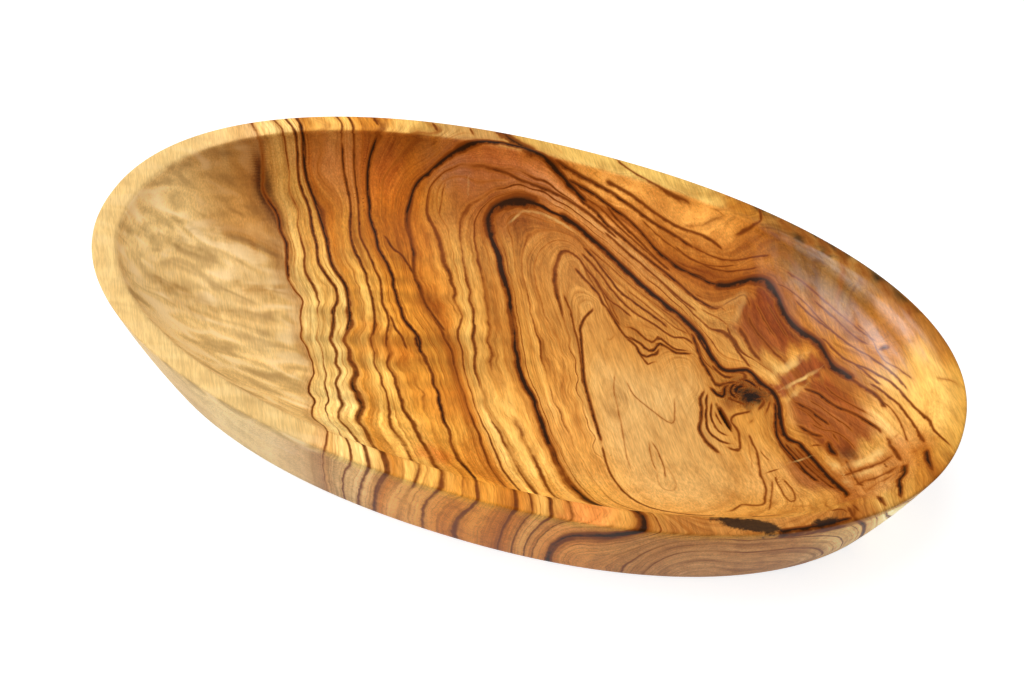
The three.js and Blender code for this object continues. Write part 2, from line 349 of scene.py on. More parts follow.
# Lines drawn one by one: half width, strength, points
marks = {
    "heartLine": (0.45, 0.8, [(20, 31), (20.4, 28.5), (19, 25), (18.8, 21), (19.2, 18.5), (20.5, 15.5),
        (25, 4), (28, -3), (32.5, -11), (37, -18.5), (41.5, -26)]),
    "heartTwin": (0.35, 0.65, [(8, 33), (10, 30), (13, 26), (15, 22.5), (17, 18.5), (19.5, 14.5),
        (24, 5), (28, -5)]),
    "heartSpur": (0.35, 0.5, [(31.2, 22), (31, 19.8), (30, 17.6), (28.5, 18.2)]),
    "tongueA": (0.35, 0.75, [(8, 51.2), (12, 49.5), (16, 47), (20, 44), (23, 42), (26, 39.5),
        (29, 37.8), (33, 36.2), (37, 34.5), (41, 32.8), (45, 31), (49, 28.8)]),
    "tongueB": (0.35, 0.68, [(8, 49.3), (13, 46.8), (17, 44.2), (20, 42), (24, 38.8), (28, 36),
        (32, 33.5), (36, 31.5), (40, 30.3), (44, 29), (47, 27.5), (51, 26.2), (54, 27), (57, 26.2),
        (59.5, 24)]),
    "tongueC": (0.35, 0.66, [(10, 46), (14, 43), (18, 40.5), (21, 37.5), (24, 35), (26, 33.8),
        (29, 32.8), (33, 30.8), (36, 29)]),
    "tongueD": (0.4, 0.75, [(8, 44), (12, 41), (16, 38.5), (20, 36), (23, 32.5), (26, 30), (29, 27),
        (31, 25), (34, 21.8), (37, 20.6), (40, 19.9)]),
    "tongueE": (0.28, 0.6, [(15, 43), (19, 39), (22, 36), (25, 32.2), (28, 28.8), (31, 26), (33, 24)]),
    "tongueF": (0.28, 0.55, [(20, 39), (23, 36.5), (26, 32.8), (29, 29), (32, 26.2)]),
    "tongueG": (0.3, 0.5, [(10, 51.5), (20, 47), (30, 42), (40, 37.5), (48, 34), (54, 30.5),
        (58, 26.5)]),
    "tongueH": (0.28, 0.5, [(28, 40.5), (36, 37), (43, 33.6), (50, 30.3), (54, 29.3), (57, 28)]),
    "archRight": (0.7, 1.04, [(-4, 58.8), (3, 57), (10, 54.5), (15, 52.3), (20, 50), (25, 47.5),
        (30, 45), (35, 42.3), (40, 40), (45, 37.5), (50, 35.2), (55, 32.4), (60, 29), (63, 25.5),
        (65.5, 22.4), (68.5, 19.5), (71, 18.2), (73.5, 18.4), (77, 19.7), (79, 19.9), (81, 18.8),
        (83, 17.2), (84.8, 15.9), (86.8, 14.9), (89, 13.7), (90.8, 11.8), (92.2, 9.2), (93.5, 5.8),
        (95, 1.5), (96.4, -1.8), (98, -3.8), (100, -5), (102.5, -5.8), (104.5, -7.8), (107, -10.4),
        (110, -13.8), (113, -17.6), (116, -21.2), (118.5, -24.2), (120.2, -26.7), (120.8, -29),
        (120.5, -31.5)]),
    "smear": (0.9, 0.36, [(35, 29.3), (40, 28), (46, 27.2)]),
    "zigzagA": (0.35, 0.72, [(33, 25), (35, 25.6), (38, 24.8), (40, 23.5), (43, 21.9), (45, 21.8),
        (45.5, 24), (46, 24.8), (48, 23.8), (50, 22.7), (53, 21.5), (56, 22), (58.5, 22)]),
    "zigzagB": (0.4, 0.8, [(35, 22.3), (38, 20.8), (41, 19.8), (43, 18.5), (45.5, 18), (46.5, 20.5),
        (46.5, 22.4), (48, 22), (51, 20.8), (54, 20), (57, 21), (60, 21.6)]),
    "zigzagC": (0.4, 0.78, [(34, 21.3), (37, 19.8), (40, 18), (42, 15.7), (44.5, 15), (46, 16.7),
        (47.5, 17), (47.5, 19.5), (49, 20.5)]),
    "zigzagD": (0.32, 0.62, [(38, 19.5), (41, 16.5), (44, 13.5), (46, 12), (47, 13.5), (49.5, 14.5)]),
    "underArch": (0.5, 0.8, [(55, 30.5), (58, 27.5), (60.3, 23.5), (62.5, 20), (64.5, 17.8),
        (66.5, 15.6), (69, 12.3), (70.8, 10.7), (72, 12), (73.5, 13), (75, 14)]),
    "underArchTwin": (0.3, 0.6, [(57.5, 28.5), (60, 25.5), (62, 21.8), (64, 19.6), (67, 17.4),
        (70, 16.4)]),
    "farStreakA": (0.4, 0.78, [(-8, 69), (0, 65.8), (5, 63), (11, 61.2), (16, 58.6), (22, 56.4),
        (28, 53.8), (35, 51), (40, 49), (45, 46.8), (50, 44.2), (54, 42.3), (58, 41), (62, 40),
        (64.5, 41)]),
    "farStreakB": (0.3, 0.55, [(38, 49), (42, 47.3), (46, 45.4)]),
    "farStreakC": (0.32, 0.5, [(51.5, 44.2), (55, 43.2), (58.5, 41.8)]),
    "farStreakD": (0.4, 0.8, [(-4, 67.2), (3, 66.2), (8, 65.4), (15, 63.5), (22, 61.5), (28, 59),
        (33, 56.2), (38, 53.7), (43, 51.2), (48, 50), (53, 49.5), (58, 47.8)]),
    "farStreakE": (0.36, 0.76, [(-10, 69.7), (0, 68.4), (12, 66.8), (22, 64.6), (32, 61.6), (40, 59.6),
        (50, 56.4)]),
    "farStreakF": (0.34, 0.66, [(10, 68.6), (22, 66.6), (32, 63.8), (42, 61.4), (52, 60), (60, 57)]),
    "farStreakG": (0.34, 0.7, [(12, 64.2), (20, 60.2), (28, 56.6), (36, 52.4), (44, 48.6)]),
    "farStreakH": (0.36, 0.72, [(-33, 64.5), (-25, 64.6), (-18, 64), (-8, 63.6), (4, 61.6), (12, 59.2),
        (22, 55)]),
    "farStreakI": (0.32, 0.62, [(40, 57.5), (46, 54.8), (53, 53), (60, 52), (68, 53), (74, 54.5)]),
    "farStreakJ": (0.32, 0.6, [(46, 57.8), (54, 55.8), (62, 55), (70, 56.4), (77, 57)]),
    "farStreakK": (0.34, 0.66, [(14, 57.3), (24, 53), (34, 48.6), (44, 43.6), (50, 40.5), (57, 37.4)]),
    "shoulder": (1.0, 0.95, [(57, 47.4), (60, 47.7), (64, 48.2), (68, 49.7), (72, 50.7), (76, 50.5),
        (79, 48.8), (82, 45.8), (85, 42.2), (88, 39.6), (92, 37), (96, 35.2), (99, 33.6), (101.5, 31),
        (103.6, 28.4), (106, 26), (109, 24.4), (112, 22.7), (115, 20.6)]),
    "shoulderStart": (0.55, 0.85, [(34, 55.4), (40, 52.8), (46, 50.6), (52, 49.2), (58, 47.9), (63, 48),
        (68, 49.6)]),
    "shoulderEnd": (0.5, 0.75, [(108, 25), (113, 21.9), (117, 19.2), (121, 17), (124, 14), (127, 10)]),
    "shoulderTwin": (0.35, 0.62, [(98, 36), (101.5, 34.2), (105, 31.5), (109, 28.8), (114, 26.4),
        (119, 22.6), (124, 19)]),
    "wallArcA": (0.3, 0.62, [(86, 47), (94, 42), (102, 37.8), (110, 33), (118, 28.8), (126, 23),
        (132, 16)]),
    "wallArcB": (0.3, 0.56, [(80, 54), (90, 50), (100, 44.4), (110, 38.4), (119, 33)]),
    "blockA": (0.6, 0.68, [(71, 37), (72.5, 34.2), (74.5, 32.5), (76, 30.5), (78, 28), (81, 25.5),
        (83.5, 23)]),
    "blockB": (0.38, 0.64, [(73, 41), (75, 37.5), (79, 33.8), (82, 31.5), (85, 29), (88, 27.2),
        (91, 25.8)]),
    "blockC": (0.38, 0.66, [(66.5, 36), (68.5, 33.5), (70.5, 30.5), (73, 27.3), (76, 24.5), (79, 21.8),
        (81, 20.5)]),
    "blockD": (0.4, 0.5, [(91.5, 25.4), (95, 23), (98, 20.5)]),
    "blockE": (0.36, 0.46, [(90.5, 21.3), (94, 19), (97, 16.5)]),
    "ridgeDark": (0.35, 0.55, [(62.5, 40), (66, 43.4), (70, 46), (72, 44.4), (74.5, 41)]),
    "knotB": (0.5, 0.95, [(67.4, 10.2), (69, 9.3), (71, 7.8), (73.2, 7), (74, 8.4), (73.4, 10.2),
        (73.9, 12.2), (75, 13.6)]),
    "knotC": (0.45, 0.9, [(76.4, 15.4), (78.9, 16.1), (81.1, 15.6), (83.3, 14.4), (85, 13)]),
    "knotD": (0.45, 0.95, [(78.3, 14.4), (76.2, 13.3), (75.3, 11.1), (76.1, 9.2), (77.8, 8.1),
        (80, 7.4)]),
    "knotE": (0.5, 1.0, [(81.5, 14), (79.3, 13.6), (77.4, 12.2), (77.6, 10), (79.4, 8.9)]),
    "knotF": (0.45, 0.8, [(73.9, 8.3), (76.1, 7), (78.3, 6.5), (80.6, 6.4), (83, 6.4)]),
    "knotG": (0.4, 0.7, [(74.8, 16.6), (76, 18.2), (78, 18.4), (79.2, 17), (77.6, 15.8), (75.6, 16)]),
    "knotH": (0.4, 0.6, [(78.8, 6.6), (79.6, 4.6), (81, 3)]),
    "knotI": (0.5, 0.7, [(86.4, 11.5), (87.4, 8.6), (86.6, 6), (86.4, 3.4)]),
    "knotJ": (0.45, 0.8, [(65.5, 20), (67.8, 17.8), (70.5, 16.1), (72.8, 15.4), (75, 16.1),
        (76.7, 17.2)]),
    "knotK": (0.45, 0.8, [(71.4, 10.8), (72.8, 12.4), (74.4, 13.6), (76.1, 14.4), (78, 15.2)]),
    "knotL": (0.4, 0.55, [(88.4, 12), (89.4, 9), (89.2, 5.6), (88.6, 2)]),
    "neckLeft": (0.5, 0.9, [(90.4, 11.2), (91.5, 8), (92.5, 4.5), (93.3, 1), (94, -1.5), (95.3, -4.5),
        (97, -7), (99.5, -9.6), (102.5, -12.6), (105.5, -16), (109, -19.6), (113, -23)]),
    "eyeOuter": (0.5, 0.78, [(67.2, 9.2), (66.8, 6), (66.8, 3.5), (68, 0.5), (69, -3), (69.5, -7),
        (70.2, -9.2), (71.5, -11), (73.5, -13), (76, -14.6), (79, -16.6), (80.2, -16.2)]),
    "eyeSecond": (0.36, 0.8, [(68.4, 8), (68.8, 4), (69.7, 0.5), (70.6, -3), (71.6, -6), (73, -8.5),
        (75.5, -10.2), (79, -11.4), (82.5, -11)]),
    "eyeThird": (0.32, 0.76, [(70.6, 5), (71.2, 1), (72.3, -2.6), (74, -5.4), (76.2, -7.5), (79, -8.1),
        (80.5, -7.6)]),
    "eyeFourth": (0.28, 0.66, [(72.4, 1.4), (74, -1.6), (76, -4), (78, -5.8)]),
    "eyeFold": (0.42, 0.66, [(79, -12.2), (82, -13.3), (84.5, -13.4), (84.5, -11.5), (83.5, -8.5),
        (82.4, -5.6), (80.5, -3.5), (79, -1.8), (79, 0), (80, 1.5), (82, 2.6), (84, 4.2), (84.6, 6)]),
    "eyeShade": (0.6, 0.5, [(86, 3.6), (85.6, 1.2), (84.8, -1), (83.6, -2.4)]),
    "crackLine": (0.62, 1.0, [(72.2, 4.0), (76.2, -0.9), (80.6, -6.4)]),
    "crackTail": (0.3, 0.5, [(80.6, -6.4), (82, -8.5), (83.3, -11)]),
    "fanA": (0.45, 0.6, [(85, -4), (88, -9), (90.5, -13), (92, -17.5), (93.5, -22), (95.5, -26),
        (96.7, -29), (97, -33), (97.5, -36), (96.6, -38), (93, -38.8), (90.6, -39), (90, -41),
        (88.5, -44), (86, -46)]),
    "fanB": (0.35, 0.5, [(97, -22), (98.3, -27), (98.8, -32), (99.4, -37), (99.5, -40), (99, -43)]),
    "fanC": (0.3, 0.5, [(89.5, -9.5), (92.5, -13), (95, -15), (97, -15.5)]),
    "fanD": (0.36, 0.7, [(94.4, -3.4), (96.4, -7), (99.4, -10.6), (103, -14.3), (107, -18.3),
        (111, -21.6)]),
    "fanE": (0.36, 0.75, [(97, -5), (100, -8.4), (103, -11.2), (107, -15.2), (111, -19.2), (115, -23.2),
        (118.6, -26)]),
    "fanF": (0.34, 0.66, [(100, -6), (103, -9), (107, -13), (111, -17.2), (115.5, -21.8)]),
    "fanG": (0.28, 0.4, [(86, -7), (87.5, -12), (89.5, -17), (91, -22)]),
    "leaf": (0.3, 0.55, [(97.5, -19), (99, -24), (101, -27.5), (103, -31.5), (105, -34), (106.2, -33.6),
        (106, -31), (104.5, -27), (102, -24), (99.6, -21.4)]),
    "scratch": (0.3, 0.6, [(93.8, -22.2), (96, -20), (99.8, -17)]),
    "footShade": (0.9, 0.36, [(103, -36), (106, -36.6), (110, -36), (113, -34.4)]),
    "heartFoot": (0.36, 0.66, [(41, -25), (45, -33), (49, -39), (54, -44.5), (59, -48.6), (64, -51),
        (70, -52), (78, -51.5), (86, -49)]),
    "lensRight": (0.3, 0.5, [(55, -18), (58, -20.5), (61, -24.5), (63.5, -29), (65.5, -34.5)]),
    "lensLeft": (0.28, 0.46, [(55, -18), (57, -23), (59.5, -28), (62.5, -32)]),
    "wedge": (0.3, 0.46, [(40, 4), (45, -2), (52, -6), (60.5, -9.5), (60, -4), (58, 2)]),
    "heartRing": (0.28, 0.34, [(62, -26), (66, -30), (69, -35), (68.6, -38.6), (65, -38), (62.4, -33.6),
        (61.4, -29)]),
    "heartFold": (0.28, 0.42, [(36, 6), (38, -2), (42, -10), (46, -18), (50, -27), (54, -34)]),
    "redA": (0.5, 0.8, [(97.5, 17.8), (100, 16.6), (104, 15.6), (107, 13.5), (110, 11.6), (114, 10),
        (117, 8.8), (120, 7), (123, 5), (125.5, 2.6), (127.6, 0.4)]),
    "redB": (0.45, 0.8, [(95.6, 11.2), (98, 10.8), (100, 10), (103, 8.5), (106, 6.5), (109, 4.6),
        (111.4, 2.6)]),
    "redBranch": (0.36, 0.55, [(111.4, 2.6), (112, 0.4), (113.6, -2), (115.6, -4.6)]),
    "redC": (0.34, 0.55, [(96, 8.5), (98, 9.2), (101, 8), (104, 6), (107, 3.5), (110, 1.5)]),
    "redD": (0.6, 0.8, [(98.8, 2.4), (100.6, 1.7), (102.4, 0.9), (104, 0), (106, -1), (109, -1.2),
        (110.6, -1.8)]),
    "redE": (0.42, 0.66, [(105, -6.6), (107, -5.4), (110, -5), (111.3, -4.3)]),
    "redF": (0.8, 0.92, [(110.6, -1.6), (111.3, -3.6), (112.3, -6), (114, -8), (115.2, -9.5),
        (116.4, -10.2)]),
    "gridA": (0.5, 0.58, [(117, -9), (118.5, -11.5), (120, -14.8), (121.2, -17), (122.3, -19.5),
        (123.4, -21.6), (125, -23.2), (125.6, -25.4)]),
    "gridB": (0.9, 0.52, [(116.2, -19), (118.6, -18), (121, -16.3), (124, -14.4), (127, -12.6),
        (129, -11.4), (131, -9.2), (132.6, -7)]),
    "gridC": (0.9, 0.52, [(121.6, -24.6), (123.4, -22), (126, -20.3), (129, -18.8), (131, -17),
        (133, -14.9), (134.8, -13)]),
    "gridD": (0.4, 0.56, [(128.5, -9.8), (129.7, -12.5), (131, -14.5), (132.6, -15.7)]),
    "gridE": (1.1, 0.42, [(125.6, -29), (127, -25.6), (129, -22.6), (132, -19.6), (134.4, -16.6)]),
    "rightTop": (0.5, 0.7, [(127.4, 0.7), (129, -1.6), (130, -4), (131.5, -6), (132.6, -8.3),
        (133.6, -10.5), (135, -13.4)]),
    "rightFork": (0.4, 0.5, [(132.4, 2), (131, -0.6), (129.8, -2.8)]),
    "rightLine": (0.6, 0.95, [(134.9, -13), (135.1, -16), (135.3, -19), (135.4, -22), (134.6, -24.5),
        (134.4, -27), (135.3, -29.5), (135.6, -32), (136.6, -34.4)]),
    "rightSmear": (0.9, 0.45, [(136.2, -6.4), (137.4, -9), (138.6, -11.6)]),
    "rightTick": (0.7, 0.9, [(140.2, -9.6), (140.6, -13), (141.2, -16), (142.5, -18.8), (144.2, -21)]),
    "rightHair": (0.3, 0.68, [(110.5, 27.7), (116, 26), (121, 23.4), (126, 20.2), (130, 16), (134, 11),
        (137.4, 6.4), (139.5, 2), (141, -2.5), (144, -6.5), (148.5, -10.6)]),
    "rightHairTwin": (0.32, 0.66, [(117, 21), (121, 19.5), (125, 16.5), (129, 13), (131.4, 10),
        (134, 6), (136.5, 1.5), (138.5, -4), (139.8, -9)]),
    "rightHairLow": (0.28, 0.56, [(122, 15.6), (126, 12.6), (129.4, 8.6), (132, 4), (134, -1),
        (135.6, -5)]),
    "fleckUpper": (0.6, 0.85, [(117.4, 30.8), (119.6, 31.8), (121.6, 31.9), (123.4, 31.2)]),
    "fleckLower": (0.5, 0.7, [(126, 32.6), (127.6, 31.4), (129.4, 30.6)]),
    "wallArcC": (0.3, 0.6, [(92, 47), (101, 42), (110, 36), (117, 32.4)]),
    "wallArcD": (0.28, 0.55, [(78, 50.6), (84, 49), (91, 45.4), (98, 40.6), (106, 35.4)]),
    "wallArcE": (0.28, 0.5, [(108, 40.6), (115, 35.6), (121, 28.6), (127, 24.6), (133, 19.4)]),
    "redHairA": (0.28, 0.6, [(74, 44.6), (78, 40.4), (82, 36.2), (86, 32.6)]),
    "redHairB": (0.28, 0.6, [(78, 45), (82, 41), (86, 37), (90, 33)]),
    "redHairC": (0.28, 0.6, [(104, 20), (108, 16.6), (113, 13.6), (118, 11), (122, 8.6)]),
    "redHairD": (0.28, 0.58, [(100, 13.4), (105, 11), (110, 7.6), (115, 4.4), (119, 0.6)]),
    "redHairE": (0.28, 0.58, [(103, 4.6), (108, 1.6), (113, 1), (118, -3), (121, -7)]),
    "rightCurl": (0.5, 0.42, [(136.6, 19), (140, 17), (144, 16.4), (147, 13)]),
    "nearTick": (0.7, 0.8, [(127.6, -33), (130.5, -35.5), (133.4, -38.6)]),
    "nearTickTwin": (0.5, 0.7, [(121.6, -37.6), (124, -41), (127, -43.4)]),
    "nearKnotA": (0.4, 0.6, [(115, -43.8), (117.5, -44), (120, -42.5), (123.5, -44.5)]),
    "nearKnotB": (0.6, 0.8, [(120.6, -40), (123, -43), (125, -46.5)]),
    "farRimBarA": (0.45, 0.7, [(-57.5, 72.6), (-54, 69.4), (-51.5, 66.5)]),
    "farRimBarB": (0.4, 0.6, [(-43.4, 75), (-41, 72), (-38.5, 69)]),
    "farRimBand": (1.3, 0.8, [(-34, 76.4), (-27, 73.4), (-20, 70.8), (-14, 69.8)]),
    "farRimFaint": (0.5, 0.3, [(-13, 76.4), (-8, 73.4), (-4, 71.2)]),
    "farRimLine": (0.4, 0.6, [(11.5, 77), (18, 73), (25, 70.2), (33, 68.2), (45, 66)]),
    "farStreakL": (0.32, 0.6, [(4, 64.4), (12, 62.4), (20, 59), (27, 56), (33, 53.4), (40, 50.6)]),
    "farStreakM": (0.3, 0.55, [(26, 62.6), (34, 59), (42, 56), (50, 53.6), (58, 53), (66, 54.4)]),
    "ridgeA": (0.28, 0.5, [(55, 39.6), (60, 38), (65, 36.6), (70, 33.4)]),
    "ridgeB": (0.28, 0.5, [(53, 42), (58, 40.4), (63, 41), (67, 39)]),
    "farRimHook": (0.5, 0.62, [(66, 71), (68.5, 66.5), (68, 63), (60, 60.5)]),
    **{f"rimBar{index}": (1.7, 0.42, points) for index, points in enumerate(rimBars)},
    "nearEdge": (0.6, 0.95, [(103, -57.6), (107, -55.6), (112, -52.9), (117, -49.8), (121.6, -46.6),
        (124.6, -43.8)]),
    "rimEdgeLeft": (0.45, 0.7, [(-79.4, 68.6), (-76, 65.2), (-73, 62)]),
    "sapEdgeInk": (0.5, 0.85, partOf("sapEdge", 4, 34)),
    "fineDarkInk": (0.54, 0.95, partOf("fineDark", -12, 62)),
    "streakAInk": (0.38, 0.74, partOf("streakA", -14, 58)),
    "streakBInk": (0.42, 0.78, partOf("streakB", -11, 57)),
    "stripeAInk": (0.52, 0.92, partOf("stripeA", -12, 56)),
    "stripeBInk": (0.44, 0.82, partOf("stripeB", -16, 53)),
    "midBrown": (0.45, 0.75, [(-63.5, 35.5), (-59.8, 33.3), (-56.6, 30.8), (-52.9, 29.5), (-49.8, 27),
        (-46.6, 24.2), (-44.8, 21.7), (-42.3, 18.9), (-39.8, 15.8), (-37.3, 12.7), (-34.1, 9.5),
        (-30.4, 6.4), (-27.3, 3.9), (-24.1, 1.4)]),
    "streakFork": (0.4, 0.7, [(-47.4, 3.7), (-44.3, 0.2), (-41.8, -2.6), (-38.6, -5.1), (-36.1, -8.2),
        (-33.6, -11.2)]),
    "archBand": (1.5, 0.92, [(-22.5, 44), (-25.2, 47.7), (-27, 50.6), (-27.2, 52.7), (-26.1, 55),
        (-23.9, 56.9), (-21, 58.4), (-17.5, 59.2), (-13.4, 59.4), (-9, 59)]),
    "archFringe": (0.45, 0.58, [(-22.6, 53.8), (-21.8, 55.2), (-19, 57), (-15.4, 58), (-12, 58.3)]),
    "archHem": (0.4, 0.56, [(-28.4, 53.4), (-27, 56.5), (-24, 58.5), (-21, 60.2), (-16.2, 61),
        (-12, 61.2), (-9, 60.4)]),
    "outerArchSmear": (1.2, 0.6, [(-56.6, 54), (-56.9, 51), (-56.7, 47.5), (-56, 44), (-54.6, 40),
        (-52.8, 37)]),
    "outerArchInk": (0.6, 0.94, [(-56.6, 42), (-57, 47), (-57, 51), (-56.6, 53.8), (-55.4, 56),
        (-53, 58.3), (-50, 61.5), (-47.4, 63.4), (-44.8, 65.1), (-41, 66.8), (-37.5, 68.1), (-34.6, 69),
        (-31, 69.8), (-27.5, 70.2), (-24, 70.4), (-20, 70.4), (-15, 70), (-12, 69.4), (-8, 68.5),
        (-4, 67), (0, 65.5), (4, 64), (8, 62.8)]),
    "farBarA": (0.5, 0.5, [(-51.5, 57), (-50.5, 51), (-49, 45)]),
    "farBarB": (0.4, 0.5, [(-46.5, 60), (-46.2, 54), (-44.6, 46)]),
}

# Pale marks, partly real pale scratches and partly painted highlights on ridges and edges: half width,
# strength, points
glints = {
    "streakWide": (1.9, 0.6, [(88.6, 21), (90.4, 22.9), (92, 24.7), (95, 28.2)]),
    "streakNarrow": (0.8, 0.8, [(92.6, 16), (95, 18.2), (98.6, 21.4), (101.4, 24.2)]),
    "streakFoot": (1.0, 0.5, [(95.4, 12), (97, 15.4), (98.2, 17.4)]),
    "scratchPale": (0.5, 0.7, [(102.3, -14), (106.6, -11)]),
    "ridgeHighlight": (1.5, 0.2, [(62, 41), (67, 43.5), (69.5, 46), (70.5, 43), (69, 36)]),
    "ribA": (1.5, 0.8, [(113.4, -11.4), (115.4, -13.6), (117.2, -16)]),
    "ribB": (1.8, 0.76, [(119.6, -13.2), (123.4, -11), (126.4, -8.2), (128.4, -4)]),
    "ribC": (1.5, 0.76, [(122.4, -17.6), (125.6, -16), (128.6, -14)]),
    "ribD": (1.3, 0.66, [(119.4, -19.6), (121, -22.6)]),
    "archGlint": (0.4, 0.42, [(-16, 56.6), (-9, 57.3), (-2, 56.4), (5, 54.6)]),
    "chipGlintA": (0.5, 0.6, [(-38, 60), (-37.4, 57.4)]),
    "chipGlintB": (0.5, 0.5, [(-19.6, 51.6), (-17, 55), (-15, 57)]),
}
